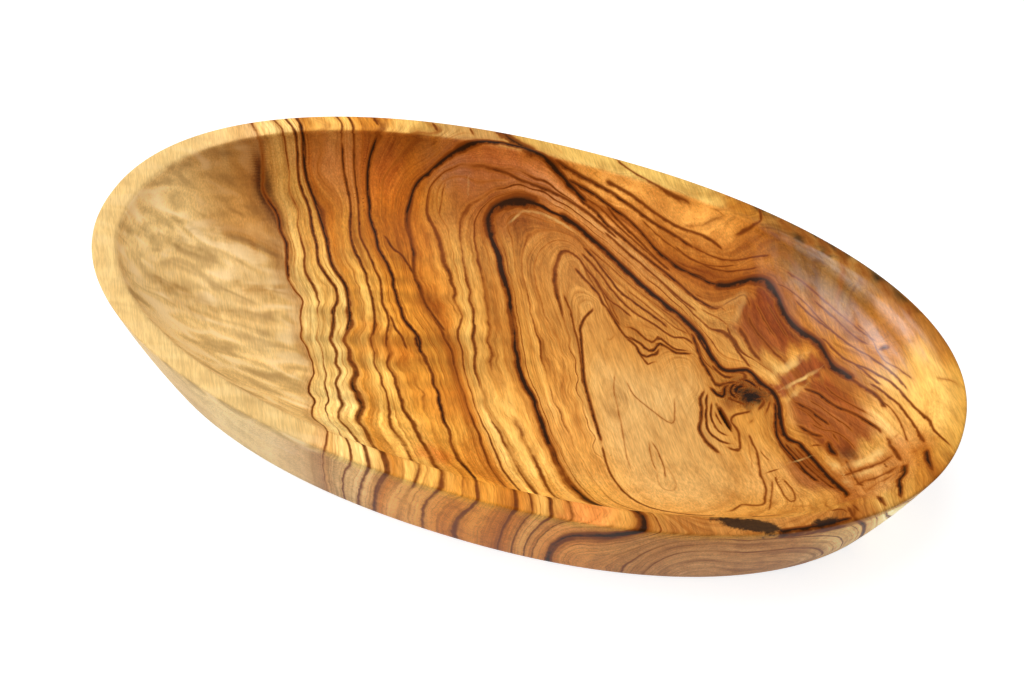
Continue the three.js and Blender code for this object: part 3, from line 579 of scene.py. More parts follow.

# Broad differences of colour in the hollow: width of the soft edge, what it multiplies by, outline. Most
# are the wood's own tone; some paint in light, shade and sheen, as noted
patches = {
    # painted shade on the far wall, over wood that is darker there too
    "farShade": (15, (0.70, 0.52, 0.33), [(-124, 32), (-110, 24), (-84, 16), (-60, 22), (-44, 40),
        (-20, 56), (-14, 74), (-60, 72), (-100, 60), (-122, 46)]),
    "farRed": (8, (0.80, 0.66, 0.72), [(-44, 44), (-24, 48), (0, 50), (30, 44), (62, 44), (84, 48),
        (70, 56), (30, 60), (0, 66), (-20, 72), (-44, 72)]),
    "farDeep": (8, (0.80, 0.72, 0.80), [(-112, 60), (-100, 47), (-80, 46), (-62, 52), (-62, 72),
        (-100, 66)]),
    "middleAmber": (12, (0.91, 0.87, 0.90), [(-30, 24), (20, 10), (70, 14), (86, 24), (70, 44),
        (20, 50), (-24, 52)]),
    "archShade": (4, (0.74, 0.66, 0.66), [(-32, 44), (-27, 58), (-8, 62), (-6, 55), (-22, 46)]),
    "farGold": (5, (1.36, 1.56, 2.1), [(8, 66), (30, 61), (50, 57), (62, 56), (58, 64), (40, 68),
        (16, 72)]),
    "redBlockA": (2.2, (0.56, 0.33, 0.34), [(70, 33), (79, 28), (89, 29), (93, 33), (88, 38.4),
        (81, 47), (74, 49), (70, 42)]),
    "redBlockB": (0.9, (0.48, 0.27, 0.32), [(87, 15), (92, 12.5), (104.5, 26), (97.5, 30.5)]),
    "redBlockC": (3, (0.51, 0.29, 0.28), [(94, 11), (99, 2), (108, -5), (118, -10), (125, 2), (120, 11),
        (111, 19), (104, 25)]),
    "redFoot": (2.5, (0.66, 0.50, 0.60), [(99, -15), (106, -25), (118, -26), (112, -16), (104, -8)]),
    "knotBrown": (3, (0.33, 0.28, 0.33), [(72, 9), (75, 5.5), (86, 5.5), (89, 11), (86, 15), (79, 16.5),
        (74, 14.5)]),
    "knotCore": (1.8, (0.07, 0.07, 0.11), [(79.6, 12), (82.5, 12.8), (86.2, 11), (86.6, 8.2),
        (83.4, 6.4), (79.8, 7.4), (78.6, 9.6)]),
    "knotRed": (2, (0.66, 0.50, 0.50), [(73.6, 5.6), (76, 2.6), (79, 3.6), (78, 6)]),
    "paleWedge": (1.6, (1.14, 1.28, 1.6), [(79, 19.5), (86, 16.5), (97, 30), (93, 28.5), (86, 22.5)]),
    "neckShade": (1.6, (0.52, 0.40, 0.38), [(91, 9), (95, 2), (97, -4), (104, -8), (112, -17),
        (119, -26), (114, -25), (106, -18), (98, -10), (93, -2)]),
    # sheenBase and sheenWarm: painted reflection, a bluer, darker tone where the coat's sheen lies on the
    # right wall, and a darker tone that tones that sheen down
    "sheenBase": (4, (0.58, 0.74, 1.5), [(76, 58), (84, 50), (94, 47), (104, 43), (113, 45), (102, 55),
        (88, 62)]),
    "sheenWarm": (5, (0.84, 0.84, 0.84), [(97, 43), (107, 34), (118, 36), (118, 45), (107, 48)]),
    "amberFar": (6, (1.28, 1.3, 1.3), [(-67, 54), (-57, 57), (-50, 46), (-44, 34), (-34, 24), (-26, 16),
        (-26, 8), (-36, 14), (-48, 24), (-58, 34), (-66, 44)]),
    "stripePale": (4, (1.24, 1.18, 1.04), [(-95, 31), (-86, 31), (-76, 15), (-67, 5), (-64, -4),
        (-70, -6), (-78, 4), (-88, 12), (-95, 22)]),
    "heartSide": (5, (1.26, 1.34, 1.5), [(13, 8), (22, 7), (28, -8), (35, -21), (30, -25), (21, -12),
        (13, 1)]),
    "legSide": (5, (1.0, 1.07, 1.34), [(12, -14), (20, -12), (34, -30), (46, -42), (40, -48),
        (26, -36)]),
    "nearMiddle": (7, (1.04, 1.12, 1.34), [(-16, -28), (0, -28), (15, -44), (13, -57), (-6, -50),
        (-16, -40)]),
    "nearGold": (5, (1.2, 1.26, 1.3), [(-44, -38), (-36, -40), (-24, -44), (-14, -52), (-12, -65),
        (-24, -67), (-36, -54)]),
    "sapEdgeNear": (2.5, (0.76, 0.68, 0.60), [(-76, -14), (-72, -14), (-66, -21), (-62, -28),
        (-66, -28), (-72, -22)]),
    "sapWarm": (6, (0.95, 0.90, 0.84), [(-106, 4), (-92, 2), (-84, -10), (-84, -24), (-94, -24),
        (-100, -8)]),
    "ridgeDim": (2.5, (0.86, 0.79, 0.76), [(60, 41), (68, 45), (71, 43), (70, 36), (64, 36)]),
    "redDusk": (2.4, (0.50, 0.50, 0.66), [(114, -6), (118, -6), (121.4, -8.4), (120, -11), (116, -10)]),
    "heart": (10, (1.03, 1.20, 1.75), [(38, -22), (56, -46), (80, -46), (92, -30), (84, -18), (64, 10),
        (50, 10), (30, 6)]),
    "goldMiddle": (5, (1.10, 1.22, 1.4), [(-4, -16), (8, -20), (30, -44), (24, -50), (4, -32)]),
    "goldLeft": (4, (1.06, 1.18, 1.4), [(-66, 14), (-56, 8), (-51, -3), (-57, -5), (-62, 2)]),
    "goldSpot": (3, (1.06, 1.16, 1.3), [(-28, 10), (-22, 8), (-19, 1), (-24, 1)]),
    "goldStripe": (4, (1.05, 1.12, 1.3), [(-50, -28), (-42, -32), (-38, -40), (-42, -48), (-50, -38)]),
    "redLeft": (3, (0.84, 0.66, 0.50), [(-54, -1), (-44, -4), (-30, -12), (-35, -18), (-48, -16)]),
    "redUpper": (3, (0.80, 0.64, 0.50), [(-42, 12), (-33, 17), (-26, 12), (-24, 4), (-33, 8)]),
    "redArch": (3, (0.80, 0.64, 0.50), [(-25, 7), (-18, 0), (-13, -10), (-5, -22), (1, -31), (-4, -34),
        (-11, -25), (-19, -12), (-27, 0)]),
    "redMiddle": (4, (0.92, 0.80, 0.72), [(-22, -20), (-12, -22), (-8, -30), (-12, -36), (-22, -28)]),
    "redLow": (3, (0.92, 0.80, 0.70), [(2, -36), (10, -45), (16, -52), (20, -60), (8, -60), (2, -52),
        (-4, -42)]),
    "redSpot": (2.5, (0.84, 0.60, 0.56), [(-14, -48), (-2, -50), (0, -58), (-12, -58)]),
    "sapBrown": (8, (0.74, 0.61, 0.46), [(-130, 17), (-116, 10), (-98, 10), (-91, 11), (-100, 26),
        (-110, 44), (-124, 36), (-134, 27)]),
    "sapStain": (1.8, (0.38, 0.26, 0.22), [(-114, 45), (-113, 34), (-105, 26.6), (-98, 22), (-99, 26),
        (-105, 31), (-109.4, 37), (-111, 45)]),
    "sapEdgeShade": (3, (0.78, 0.68, 0.58), [(-96, 18), (-92, 11), (-88, 4), (-80, 0), (-76, -6),
        (-80, -5), (-88, 0), (-95, 8), (-99, 17)]),
    "sapBand": (2.5, (0.80, 0.70, 0.58), [(-122, 14), (-112, 17), (-100, 17), (-96, 13), (-108, 12),
        (-118, 11)]),
    "sapGrey": (6, (1.18, 1.25, 1.32), [(-142, 12), (-133, 27), (-124, 22), (-128, 8), (-132, -22),
        (-140, -16)]),
    "sapFoldA": (1.6, (0.74, 0.70, 0.64), [(-141, -11), (-134, -5), (-126, 0.5), (-114, 1.5),
        (-122, -1), (-131, -5), (-139, -13)]),
    "sapFoldB": (1.5, (0.80, 0.77, 0.72), [(-140, 1), (-132, 5.5), (-122, 8.5), (-116, 8), (-124, 6),
        (-134, 1.5)]),
    "sapFoldC": (2, (0.76, 0.66, 0.54), [(-102, -6), (-95, -2.5), (-88, -0.5), (-83, -1), (-89, -4),
        (-98, -6.5)]),
    "sapFoldD": (2.2, (0.74, 0.66, 0.55), [(-124, -21), (-115, -17), (-104, -18.5), (-95, -18),
        (-104, -21), (-114, -21), (-122, -23.5)]),
    "sapFoldE": (2, (0.84, 0.77, 0.68), [(-120, -25.5), (-108, -24), (-98, -25), (-108, -27.5)]),
    "sapSilkA": (2.4, (1.12, 1.16, 1.24), [(-132, 1.5), (-120, 5), (-109, 10), (-104, 6), (-112, 3.5),
        (-124, 1.5)]),
    "sapSilkB": (3, (1.12, 1.16, 1.26), [(-116, -12), (-112, -3), (-107, 4), (-103, 1), (-106, -8),
        (-108, -14)]),
    "sapSilkC": (2.4, (1.10, 1.13, 1.2), [(-102, -9), (-92, -8), (-82, -10), (-88, -14), (-100, -14)]),
    "sapSilkD": (3, (1.10, 1.13, 1.2), [(-98, -22), (-84, -22), (-74, -28), (-84, -32), (-96, -28)]),
    "middleGold": (9, (1.24, 1.22, 1.14), [(-72, 14), (-60, 24), (-49, 19), (-38, 8), (-32, -3),
        (-42, -8), (-56, -6), (-64, 1)]),
    "palePocket": (4, (1.34, 1.36, 1.24), [(-85, 35), (-78, 35), (-74, 26), (-78, 21), (-84, 27)]),
    "sapSmear": (1.4, (0.40, 0.36, 0.34), [(-111.5, 39.5), (-108, 39), (-106, 34), (-103, 31),
        (-100.5, 28.5), (-108, 29), (-110.5, 32)]),
    "farPlum": (5, (1.10, 1.06, 1.66), [(-100, 45), (-92, 52), (-80, 58), (-66, 60), (-62, 52),
        (-70, 44), (-78, 40), (-88, 42)]),
    "farWarm": (4, (1.26, 1.28, 1.2), [(-77, 55), (-65, 57), (-63, 46), (-72, 44)]),
    "sapLight": (5, (1.2, 1.16, 1.08), [(-118, 34), (-112, 27), (-101, 22), (-103, 13), (-116, 17)]),
    "farDusk": (4, (0.80, 0.85, 1.5), [(-60, 64), (-44, 68), (-38, 61), (-52, 56)]),
    "farLight": (4, (1.2, 1.22, 1.42), [(2, 64), (26, 62), (27, 56), (4, 57)]),
    "kneeLight": (5, (1.07, 1.12, 1.3), [(91, -11), (104, -14), (116, -17), (116, -29), (98, -32),
        (90, -22)]),
    "farRose": (5, (1.04, 1.02, 1.55), [(-56, 60), (-44, 66), (-30, 69), (-10, 69), (4, 65), (-6, 61),
        (-24, 62), (-34, 55), (-50, 56)]),
    "gridRed": (4, (0.86, 0.74, 0.88), [(116, -6), (126, -9), (133, 0), (138, -8), (137, -22),
        (131, -36), (119, -36), (117, -24)]),
    # painted light: the right end's wall paler and yellower where the key light falls on it
    "rightEnd": (6, (1.66, 2.5, 5.6), [(128, 3), (142, -6), (152, 4), (142, 24), (130, 29), (119, 22),
        (120, 12)]),
    # painted light: the left end of the hollow lifted out of the shade of its wall
    "leftEndLight": (14, (1.10, 1.10, 1.10), [(-156, -30), (-100, -20), (-96, 8), (-130, 24), (-156, 20)]),
    "amberLeft": (6, (1.16, 1.13, 1.1), [(-50, 36), (-44, 24), (-34, 18), (-28, 26), (-34, 38),
        (-44, 44)]),
    "innerLeg": (6, (1.14, 1.16, 1.2), [(-6, 22), (4, 2), (16, -16), (30, -34), (36, -26), (24, -8),
        (10, 12), (0, 26)]),
    "legFoot": (6, (1.12, 1.24, 1.4), [(26, -38), (36, -40), (50, -52), (56, -60), (40, -60),
        (26, -48)]),
    "fanPale": (4, (1.22, 1.36, 1.7), [(86, -6), (94, -9), (103, -21), (113, -31), (111, -36),
        (100, -40), (92, -30)]),
    # painted reflection: the top of the far wall under the rim, paler and bluer with haze
    "farTopHaze": (5, (1.34, 1.46, 2.0), [(-50, 66), (0, 64), (50, 58), (72, 57), (66, 66), (20, 74),
        (-40, 74)]),
    "nearWall": (5, (1.5, 1.6, 1.6), [(6, -60), (34, -58), (34, -74), (6, -76)]),
    "nearLeft": (8, (1.18, 1.18, 1.14), [(-114, -30), (-98, -23), (-86, -26), (-66, -35), (-54, -46),
        (-46, -66), (-80, -66), (-110, -56)]),
    "nearLight": (12, (1.32, 1.36, 1.4), [(-56, -34), (-34, -18), (10, -14), (40, -26), (70, -40),
        (104, -44), (60, -76), (-50, -78)]),
}

# Outlines of small dark spots on the far rim, all alike
rimSpots = [
    [(64, 71.6), (69, 69.2), (70, 66.4), (66, 68)],
    [(81.6, 63.4), (84.6, 62.4), (85.8, 58.4), (83, 58.2)],
    [(89.4, 61), (94, 59.6), (97, 55.4), (92.6, 55.6)],
    [(83, 66.8), (94, 62.4), (103, 57.4), (100, 56.6), (92, 60.4)],
    [(108.6, 54.4), (114, 51.6), (116, 48), (110.6, 50.4)],
    [(117.6, 48.8), (123, 45.4), (129.6, 40.2), (126, 40.2), (119.6, 44.8)],
]

# Broad differences of colour on the rim, which is paler, in the same way; on the far rim part of that
# paleness is a painted sheen
rimPatches = {
    # painted sheen: the far rim paler and bluer, as lit from behind
    "farPaleSheen": (6, (1.34, 2.1, 4.6), [(-70, 90), (-70, 40), (56, 50), (50, 90)]),
    "farDim": (5, (0.80, 0.72, 0.84), [(-54, 60), (-28, 60), (-28, 80), (-54, 80)]),
    "farLeft": (5, (1.24, 1.22, 1.3), [(-130, 30), (-60, 55), (-60, 80), (-140, 60)]),
    "farGrey": (6, (0.74, 0.90, 1.7), [(64, 56), (92, 40), (116, 30), (120, 60), (78, 80)]),
    "farEdge": (2, (0.52, 0.62, 0.86), [(58, 72), (84, 64.5), (104, 56), (120, 46), (126, 50),
        (104, 66), (66, 78)]),
    **{f"rimSpot{index}": (0.8, (0.20, 0.23, 0.28), spot) for index, spot in enumerate(rimSpots)},
    "farBrown": (6, (0.66, 0.60, 0.68), [(112, 36), (136, 22), (146, 30), (124, 60), (110, 60)]),
    "rightPale": (6, (1.25, 1.6, 2.4), [(136, -14), (156, -14), (156, 24), (140, 20)]),
    "nearOrange": (6, (1.34, 1.30, 1.34), [(-40, -90), (60, -90), (60, -50), (-40, -50)]),
    "nearBlush": (3, (1.05, 0.82, 0.9), [(43, -80), (57, -78), (56, -58), (42, -60)]),
    "nearBrown": (6, (0.84, 0.73, 0.8), [(70, -80), (70, -50), (112, -36), (134, -40), (110, -70)]),
}

# And on the outer wall and the underside, partly as painted light: the bluer and paler tones stand in for
# light reflected from the white floor, strongest at the right end
wallPatches = {
    "all": (1, (1.0, 0.92, 1.16), [(-170, -90), (170, -90), (170, 90), (-170, 90)]),
    "left": (20, (1.0, 1.09, 0.90), [(-170, -90), (-50, -90), (-50, 0), (-170, 0)]),
    "pale": (9, (1.24, 1.34, 1.5), [(-84, -90), (-46, -90), (-46, 0), (-84, 0)]),
    "middle": (10, (1.34, 1.32, 1.34), [(-24, -90), (56, -90), (56, 0), (-24, 0)]),
    "right": (13, (2.3, 3.7, 5.4), [(121, -90), (170, -90), (170, 0), (121, 0)]),
    "nearRight": (14, (1.0, 1.08, 1.36), [(52, -90), (170, -90), (170, 0), (52, 0)]),
}

# Near-black patches with rough edges: middle, half sizes, turn, strength
blots = {
    "knot": ((82.6, 9.6), (3.8, 2.9), 20, 0.74),
    "knotSide": ((77.6, 10.8), (2.6, 3), 0, 0.52),
    "knotNeck": ((88, 12.6), (2.6, 1.3), -30, 0.45),
    "nearRim": ((95.5, -57.6), (12.5, 2.7), 9, 0.92),
    "nearRimRight": ((117, -48.6), (6, 1.5), 33, 0.85),
    "fleckA": ((104, 48), (1.6, 1.2), 0, 0.5),
}

# Where the wood is plain, without growth lines: middle, half sizes, turn
calm = {
    "heart": ((66, -24), (33, 27), -45),
    "knot": ((77, 2), (13, 13), 0),
    "tongue": ((40, 10), (24, 13), -32),
    "farRim": ((-14, 75.5), (70, 5.5), 0),
    "rightRim": ((128, 48), (34, 11), -40),
    "rightEnd": ((138, 10), (11, 22), 10),
}

# Where the marks stand in for the ruled growth lines: middle, half sizes, turn
redrawn = {
    "tongue": ((40, 28), (26, 9), -28),
    "farWall": ((32, 57), (38, 6.5), -20),
    "shoulder": ((80, 44), (26, 10), -25),
    "rightHalf": ((122, -4), (30, 44), 0),
    "knot": ((80, 12), (15, 12), 0),
    "goldBlot": ((3, -21), (9, 6), -52),
}

# Rubbed smooth, so it shines: middle, half sizes, turn
polished = {
    "rightWall": ((122, 32), (17, 11), -45),
    "farWall": ((94, 51), (24, 10), -28),
}

figure = {
    "knot": ((80, 11), (11, 8), 10),
    "pithHeight": 7,           # the pith runs about level, this far above the base
    "ringLean": 0.8,           # 1 would be round rings, these stand taller than they are wide
    "stiffness": 2e-4,         # how freely the field may leave the drawn points
    "fieldUnit": 100,          # the field is solved in units of this many millimetres
    "fieldBatch": 4000,        # and worked out for about this many vertices at a time
    "wallInk": 0.84,           # the lines are weaker on the outer wall
    "upperBand": (-5, -2.5),   # heights below the hollow and rim where the outer wall's look ends
    "rimBand": (-1.0, -0.3),   # heights below the rim where its own look starts
    "leastFolds": 0.3,         # what is left of the sapwood's clouds outside the hollow
    "markReach": 2.4,          # a mark is forgotten this far outside its half width
    "markHold": 0.6,           # share of that way before it starts to fade
    "markTail": 3,             # it also fades over this length at its ends
    "markTip": 0.25,           # down to this share
    "noMark": 99.0,            # offset where no mark is near
    "grainTurn": -48,          # direction of the grain in plan
    "strands": [(1.1, 6.7), (0.9, 4.3), (0.6, 2.9)],  # how far and how closely the patches fray along it
    "curlMiddle": (-45, -12),
    "curlSize": (42, 48),
}


def growthField(lines, figure):
    # a thin plate bent through every drawn point
    unit = figure["fieldUnit"]
    points = np.array([p for age, line in lines.values() for p in line], float)
    ages = np.array([age for age, line in lines.values() for p in line], float)
    count = len(points)

    def kernel(a):
        squared = ((a[:, None, :] - points[None, :, :]) ** 2).sum(-1) / unit ** 2
        return 0.5 * squared * np.log(squared + 1e-12)

    system = np.zeros((count + 3, count + 3))
    system[:count, :count] = kernel(points) + figure["stiffness"] * np.eye(count)
    system[:count, count] = 1
    system[:count, count + 1:] = points / unit
    system[count:, :count] = system[:count, count:].T
    weights = np.linalg.solve(system, np.concatenate([ages, np.zeros(3)]))

    def ageAt(plan):
        parts = [kernel(part) @ weights[:count] + weights[count] + part @ weights[count + 1:] / unit
                 for part in np.array_split(plan, max(1, len(plan) // figure["fieldBatch"]))]
        return np.concatenate(parts)

    return ageAt


def lineDistance(plan, points):
    # distance to a drawn line, with a sign for its side, and the share of the way along it
    points = np.array(points, float)
    runs = np.diff(points, axis=0)
    lengths = np.linalg.norm(runs, axis=1)
    best = np.full(len(plan), np.inf)
    signed, along = np.zeros(len(plan)), np.zeros(len(plan))
    for start, run, length, before in zip(points, runs, lengths, np.cumsum(lengths) - lengths):
        t = np.clip((plan - start) @ run / length ** 2, 0, 1)
        offset = plan - start - t[:, None] * run
        distance = np.linalg.norm(offset, axis=1)
        side = np.where(run[0] * offset[:, 1] - run[1] * offset[:, 0] < 0, -1, 1)
        closer = distance < best
        best = np.where(closer, distance, best)
        signed = np.where(closer, distance * side, signed)
        along = np.where(closer, (before + t * length) / lengths.sum(), along)
    return signed, along


def flowing(points, cuts=4):
    # a smooth line through drawn points
    points = np.array(points, float)
    padded = np.concatenate([2 * points[:1] - points[1:2], points, 2 * points[-1:] - points[-2:-1]])
    t = np.linspace(0, 1, cuts, endpoint=False)[:, None]
    runs = []
    for before, start, end, after in zip(padded, padded[1:], padded[2:], padded[3:]):
        cubic = 3 * (start - end) + after - before
        square = 2 * before - 5 * start + 4 * end - after
        runs.append(start + t / 2 * (end - before + t * (square + t * cubic)))
    return np.concatenate(runs + [points[-1:]])


def spreadMarks(lines, reach):
    # lines that come too close to each other go in different sets
    sets = []
    for half, strength, points in lines:
        path = flowing(points)
        for held in sets:
            if all(np.abs(lineDistance(path, other)[0]).min() > 2 * (reach + max(half, wide))
                   for wide, _, other in held):
                break
        else:
            held = []
            sets.append(held)
        held.append((half, strength, path))
    return sets


def patchShare(plan, softness, outline):
    closed = outline + outline[:1]
    inside = np.zeros(len(plan), bool)
    for (startX, startY), (endX, endY) in zip(closed, closed[1:]):
        crosses = (startY > plan[:, 1]) != (endY > plan[:, 1])
        slope = (endX - startX) / ((endY - startY) or 1)
        inside ^= crosses & (plan[:, 0] < startX + (plan[:, 1] - startY) * slope)
    signed, _ = lineDistance(plan, closed)
    return smooth(-softness, softness, np.where(inside, 1, -1) * np.abs(signed))


def frayed(plan, turn, strands):
    # points slid to and fro along the grain, strand by strand, so that an edge drawn across it frays
    along = np.array([math.cos(math.radians(turn)), math.sin(math.radians(turn))])
    across = plan @ np.array([-along[1], along[0]])
    slide = sum(size * np.sin(2 * math.pi * across / pitch + pitch) for size, pitch in strands)
    return plan + slide[:, None] * along


def ovalShare(plan, middle, size, turn, strength=1):
    c, s = math.cos(math.radians(turn)), math.sin(math.radians(turn))
    dx, dy = plan[:, 0] - middle[0], plan[:, 1] - middle[1]
    reach = ((dx * c + dy * s) / size[0]) ** 2 + ((dy * c - dx * s) / size[1]) ** 2
    return np.exp(-reach ** 1.5) * strength


def spotShare(plan, spots):
    return np.max([ovalShare(plan, *spot) for spot in spots.values()], 0)


def addFloats(mesh, name, values):
    layer = mesh.attributes.new(name, "FLOAT", "POINT")
    layer.data.foreach_set("value", np.ascontiguousarray(values, dtype=np.float32))


def addColours(mesh, name, values):
    layer = mesh.attributes.new(name, "FLOAT_COLOR", "POINT")
    filled = np.concatenate([values, np.ones((len(values), 1))], 1)
    layer.data.foreach_set("color", np.ascontiguousarray(filled, dtype=np.float32).ravel())


def paintMarks(mesh, plan, upper, name, lines):
    # the nearest line of the set wins
    offset = np.full(len(plan), figure["noMark"])
    strength = np.zeros(len(plan))
    best = np.full(len(plan), np.inf)
    for half, ink, path in lines:
        spread = figure["markReach"] + half
        length = np.linalg.norm(np.diff(path, axis=0), axis=1).sum()
        near = np.flatnonzero(((plan > path.min(0) - spread) & (plan < path.max(0) + spread)).all(1))
        signed, along = lineDistance(plan[near], path)
        distance = np.abs(signed)
        ends = np.clip(np.minimum(along, 1 - along) * length / figure["markTail"], figure["markTip"], 1)
        faded = ink * ends * (1 - smooth(spread * figure["markHold"], spread, distance)) * upper[near]
        closer = distance < best[near]
        won = near[closer]
        best[won] = distance[closer]
        offset[won] = signed[closer] / half
        strength[won] = faded[closer]
    addFloats(mesh, name, offset)
    addFloats(mesh, name + "Strength", strength)


inkSets = spreadMarks(marks.values(), figure["markReach"])
scratchAndGlintSets = spreadMarks(glints.values(), figure["markReach"])


def paintFigure(mesh, form):
    place = verticesOf(mesh) / mm
    plan, height = place[:, :2], place[:, 2]
    above = hollowLevel(form, place[:, 0], place[:, 1])
    upper = smooth(*figure["upperBand"], height - above)
    rim = smooth(*figure["rimBand"], height - form["height"])
    hollow = upper * (1 - rim)

    # rings stand round the pith, so below the hollow and down the outside they lean away from it
    age = growthField(growthLines, figure)(plan)
    pith = figure["pithHeight"]
    lean = (height - pith) ** 2 - (above - pith) ** 2
    squared = np.maximum(age, 0) ** 2 + figure["ringLean"] * lean
    age = np.sqrt(np.maximum(squared, 0))
    addFloats(mesh, "age", age)
    curlAway = (plan - np.array(figure["curlMiddle"])) / np.array(figure["curlSize"])
    addFloats(mesh, "curl", np.exp(-(curlAway ** 2).sum(1)))

    colour = np.ones((len(plan), 3))
    strands = frayed(plan, figure["grainTurn"], figure["strands"])
    # the patches multiply the wood's tone; some of them are painted light, shade and sheen
    for zone, group in ((hollow, patches), (rim, rimPatches), (1 - upper, wallPatches)):
        for softness, tint, outline in group.values():
            share = patchShare(strands, softness, outline) * zone
            colour *= 1 + share[:, None] * (np.array(tint) - 1)
    addColours(mesh, "stainAndPaintedLight", colour)

    addFloats(mesh, "folded", figure["leastFolds"] + (1 - figure["leastFolds"]) * hollow)
    addFloats(mesh, "polish", spotShare(plan, polished) * hollow)
    addFloats(mesh, "swirl", ovalShare(plan, *figure["knot"]) * upper)
    addFloats(mesh, "blot", spotShare(plan, blots) * upper)
    addFloats(mesh, "lively", 1 - spotShare(plan, calm) * upper)
    ruled = 1 - spotShare(plan, redrawn) * upper
    addFloats(mesh, "ruled", ruled * (figure["wallInk"] + (1 - figure["wallInk"]) * upper))
    for kind, sets in (("ink", inkSets), ("pale", scratchAndGlintSets)):
        for index, lines in enumerate(sets):
            paintMarks(mesh, plan, upper, f"{kind}{index}", lines)
    youngest, oldest = round(float(age.min()), 1), round(float(age.max()), 1)
    print("figure: ages from", youngest, "to", oldest, "and", len(inkSets), "sets of marks")


def linear(red, green, blue):
    # a colour as a painter reads it, 0 to 255, in Blender's linear values
    shares = (red / 255, green / 255, blue / 255)
    return tuple(((c + 0.055) / 1.055) ** 2.4 if c > 0.04 else c / 12.92 for c in shares)


def addNode(tree, kind, inputs=None, **settings):
    made = tree.nodes.new("ShaderNode" + kind)
    for key, value in settings.items():
        setattr(made, key, value)
    for slot, value in (inputs or {}).items():
        if isinstance(value, bpy.types.NodeSocket):
            tree.links.new(value, made.inputs[slot])
        else:
            made.inputs[slot].default_value = value
    return made


def maths(tree, operation, *values):
    return addNode(tree, "Math", dict(enumerate(values)), operation=operation).outputs[0]


def times(tree, first, second):
    return maths(tree, "MULTIPLY", first, second)


def blend(tree, kind, share, first, second):
    inputs = {0: share, 6: first, 7: second}
    return addNode(tree, "Mix", inputs, data_type="RGBA", blend_type=kind).outputs[2]


def noiseAt(tree, vector, scale, detail, roughness=0.5, distortion=0.0):
    inputs = {"Vector": vector, "Scale": scale, "Detail": detail, "Roughness": roughness,
              "Distortion": distortion}
    return addNode(tree, "TexNoise", inputs).outputs["Fac"]


def attribute(tree, name, output="Fac"):
    return addNode(tree, "Attribute", attribute_name=name).outputs[output]


def step(tree, value, low, high, first=0.0, last=1.0):
    inputs = {"Value": value, "From Min": low, "From Max": high, "To Min": first, "To Max": last}
    return addNode(tree, "MapRange", inputs, interpolation_type="SMOOTHSTEP").outputs[0]


def rampOver(tree, value, low, high, stops):
    # stops are (place on the value's own scale, colour or grey)
    share = addNode(tree, "MapRange", {"Value": value, "From Min": low, "From Max": high}).outputs[0]
    ramp = addNode(tree, "ValToRGB", {0: share})
    elements = ramp.color_ramp.elements
    while len(elements) > 1:
        elements.remove(elements[-1])
    for index, (place, colour) in enumerate(stops):
        spot = (place - low) / (high - low)
        stop = elements[0] if index == 0 else elements.new(spot)
        stop.position = spot
        colour = colour if isinstance(colour, tuple) else (colour,) * 3
        stop.color = (*colour, 1)
    return ramp.outputs[0]


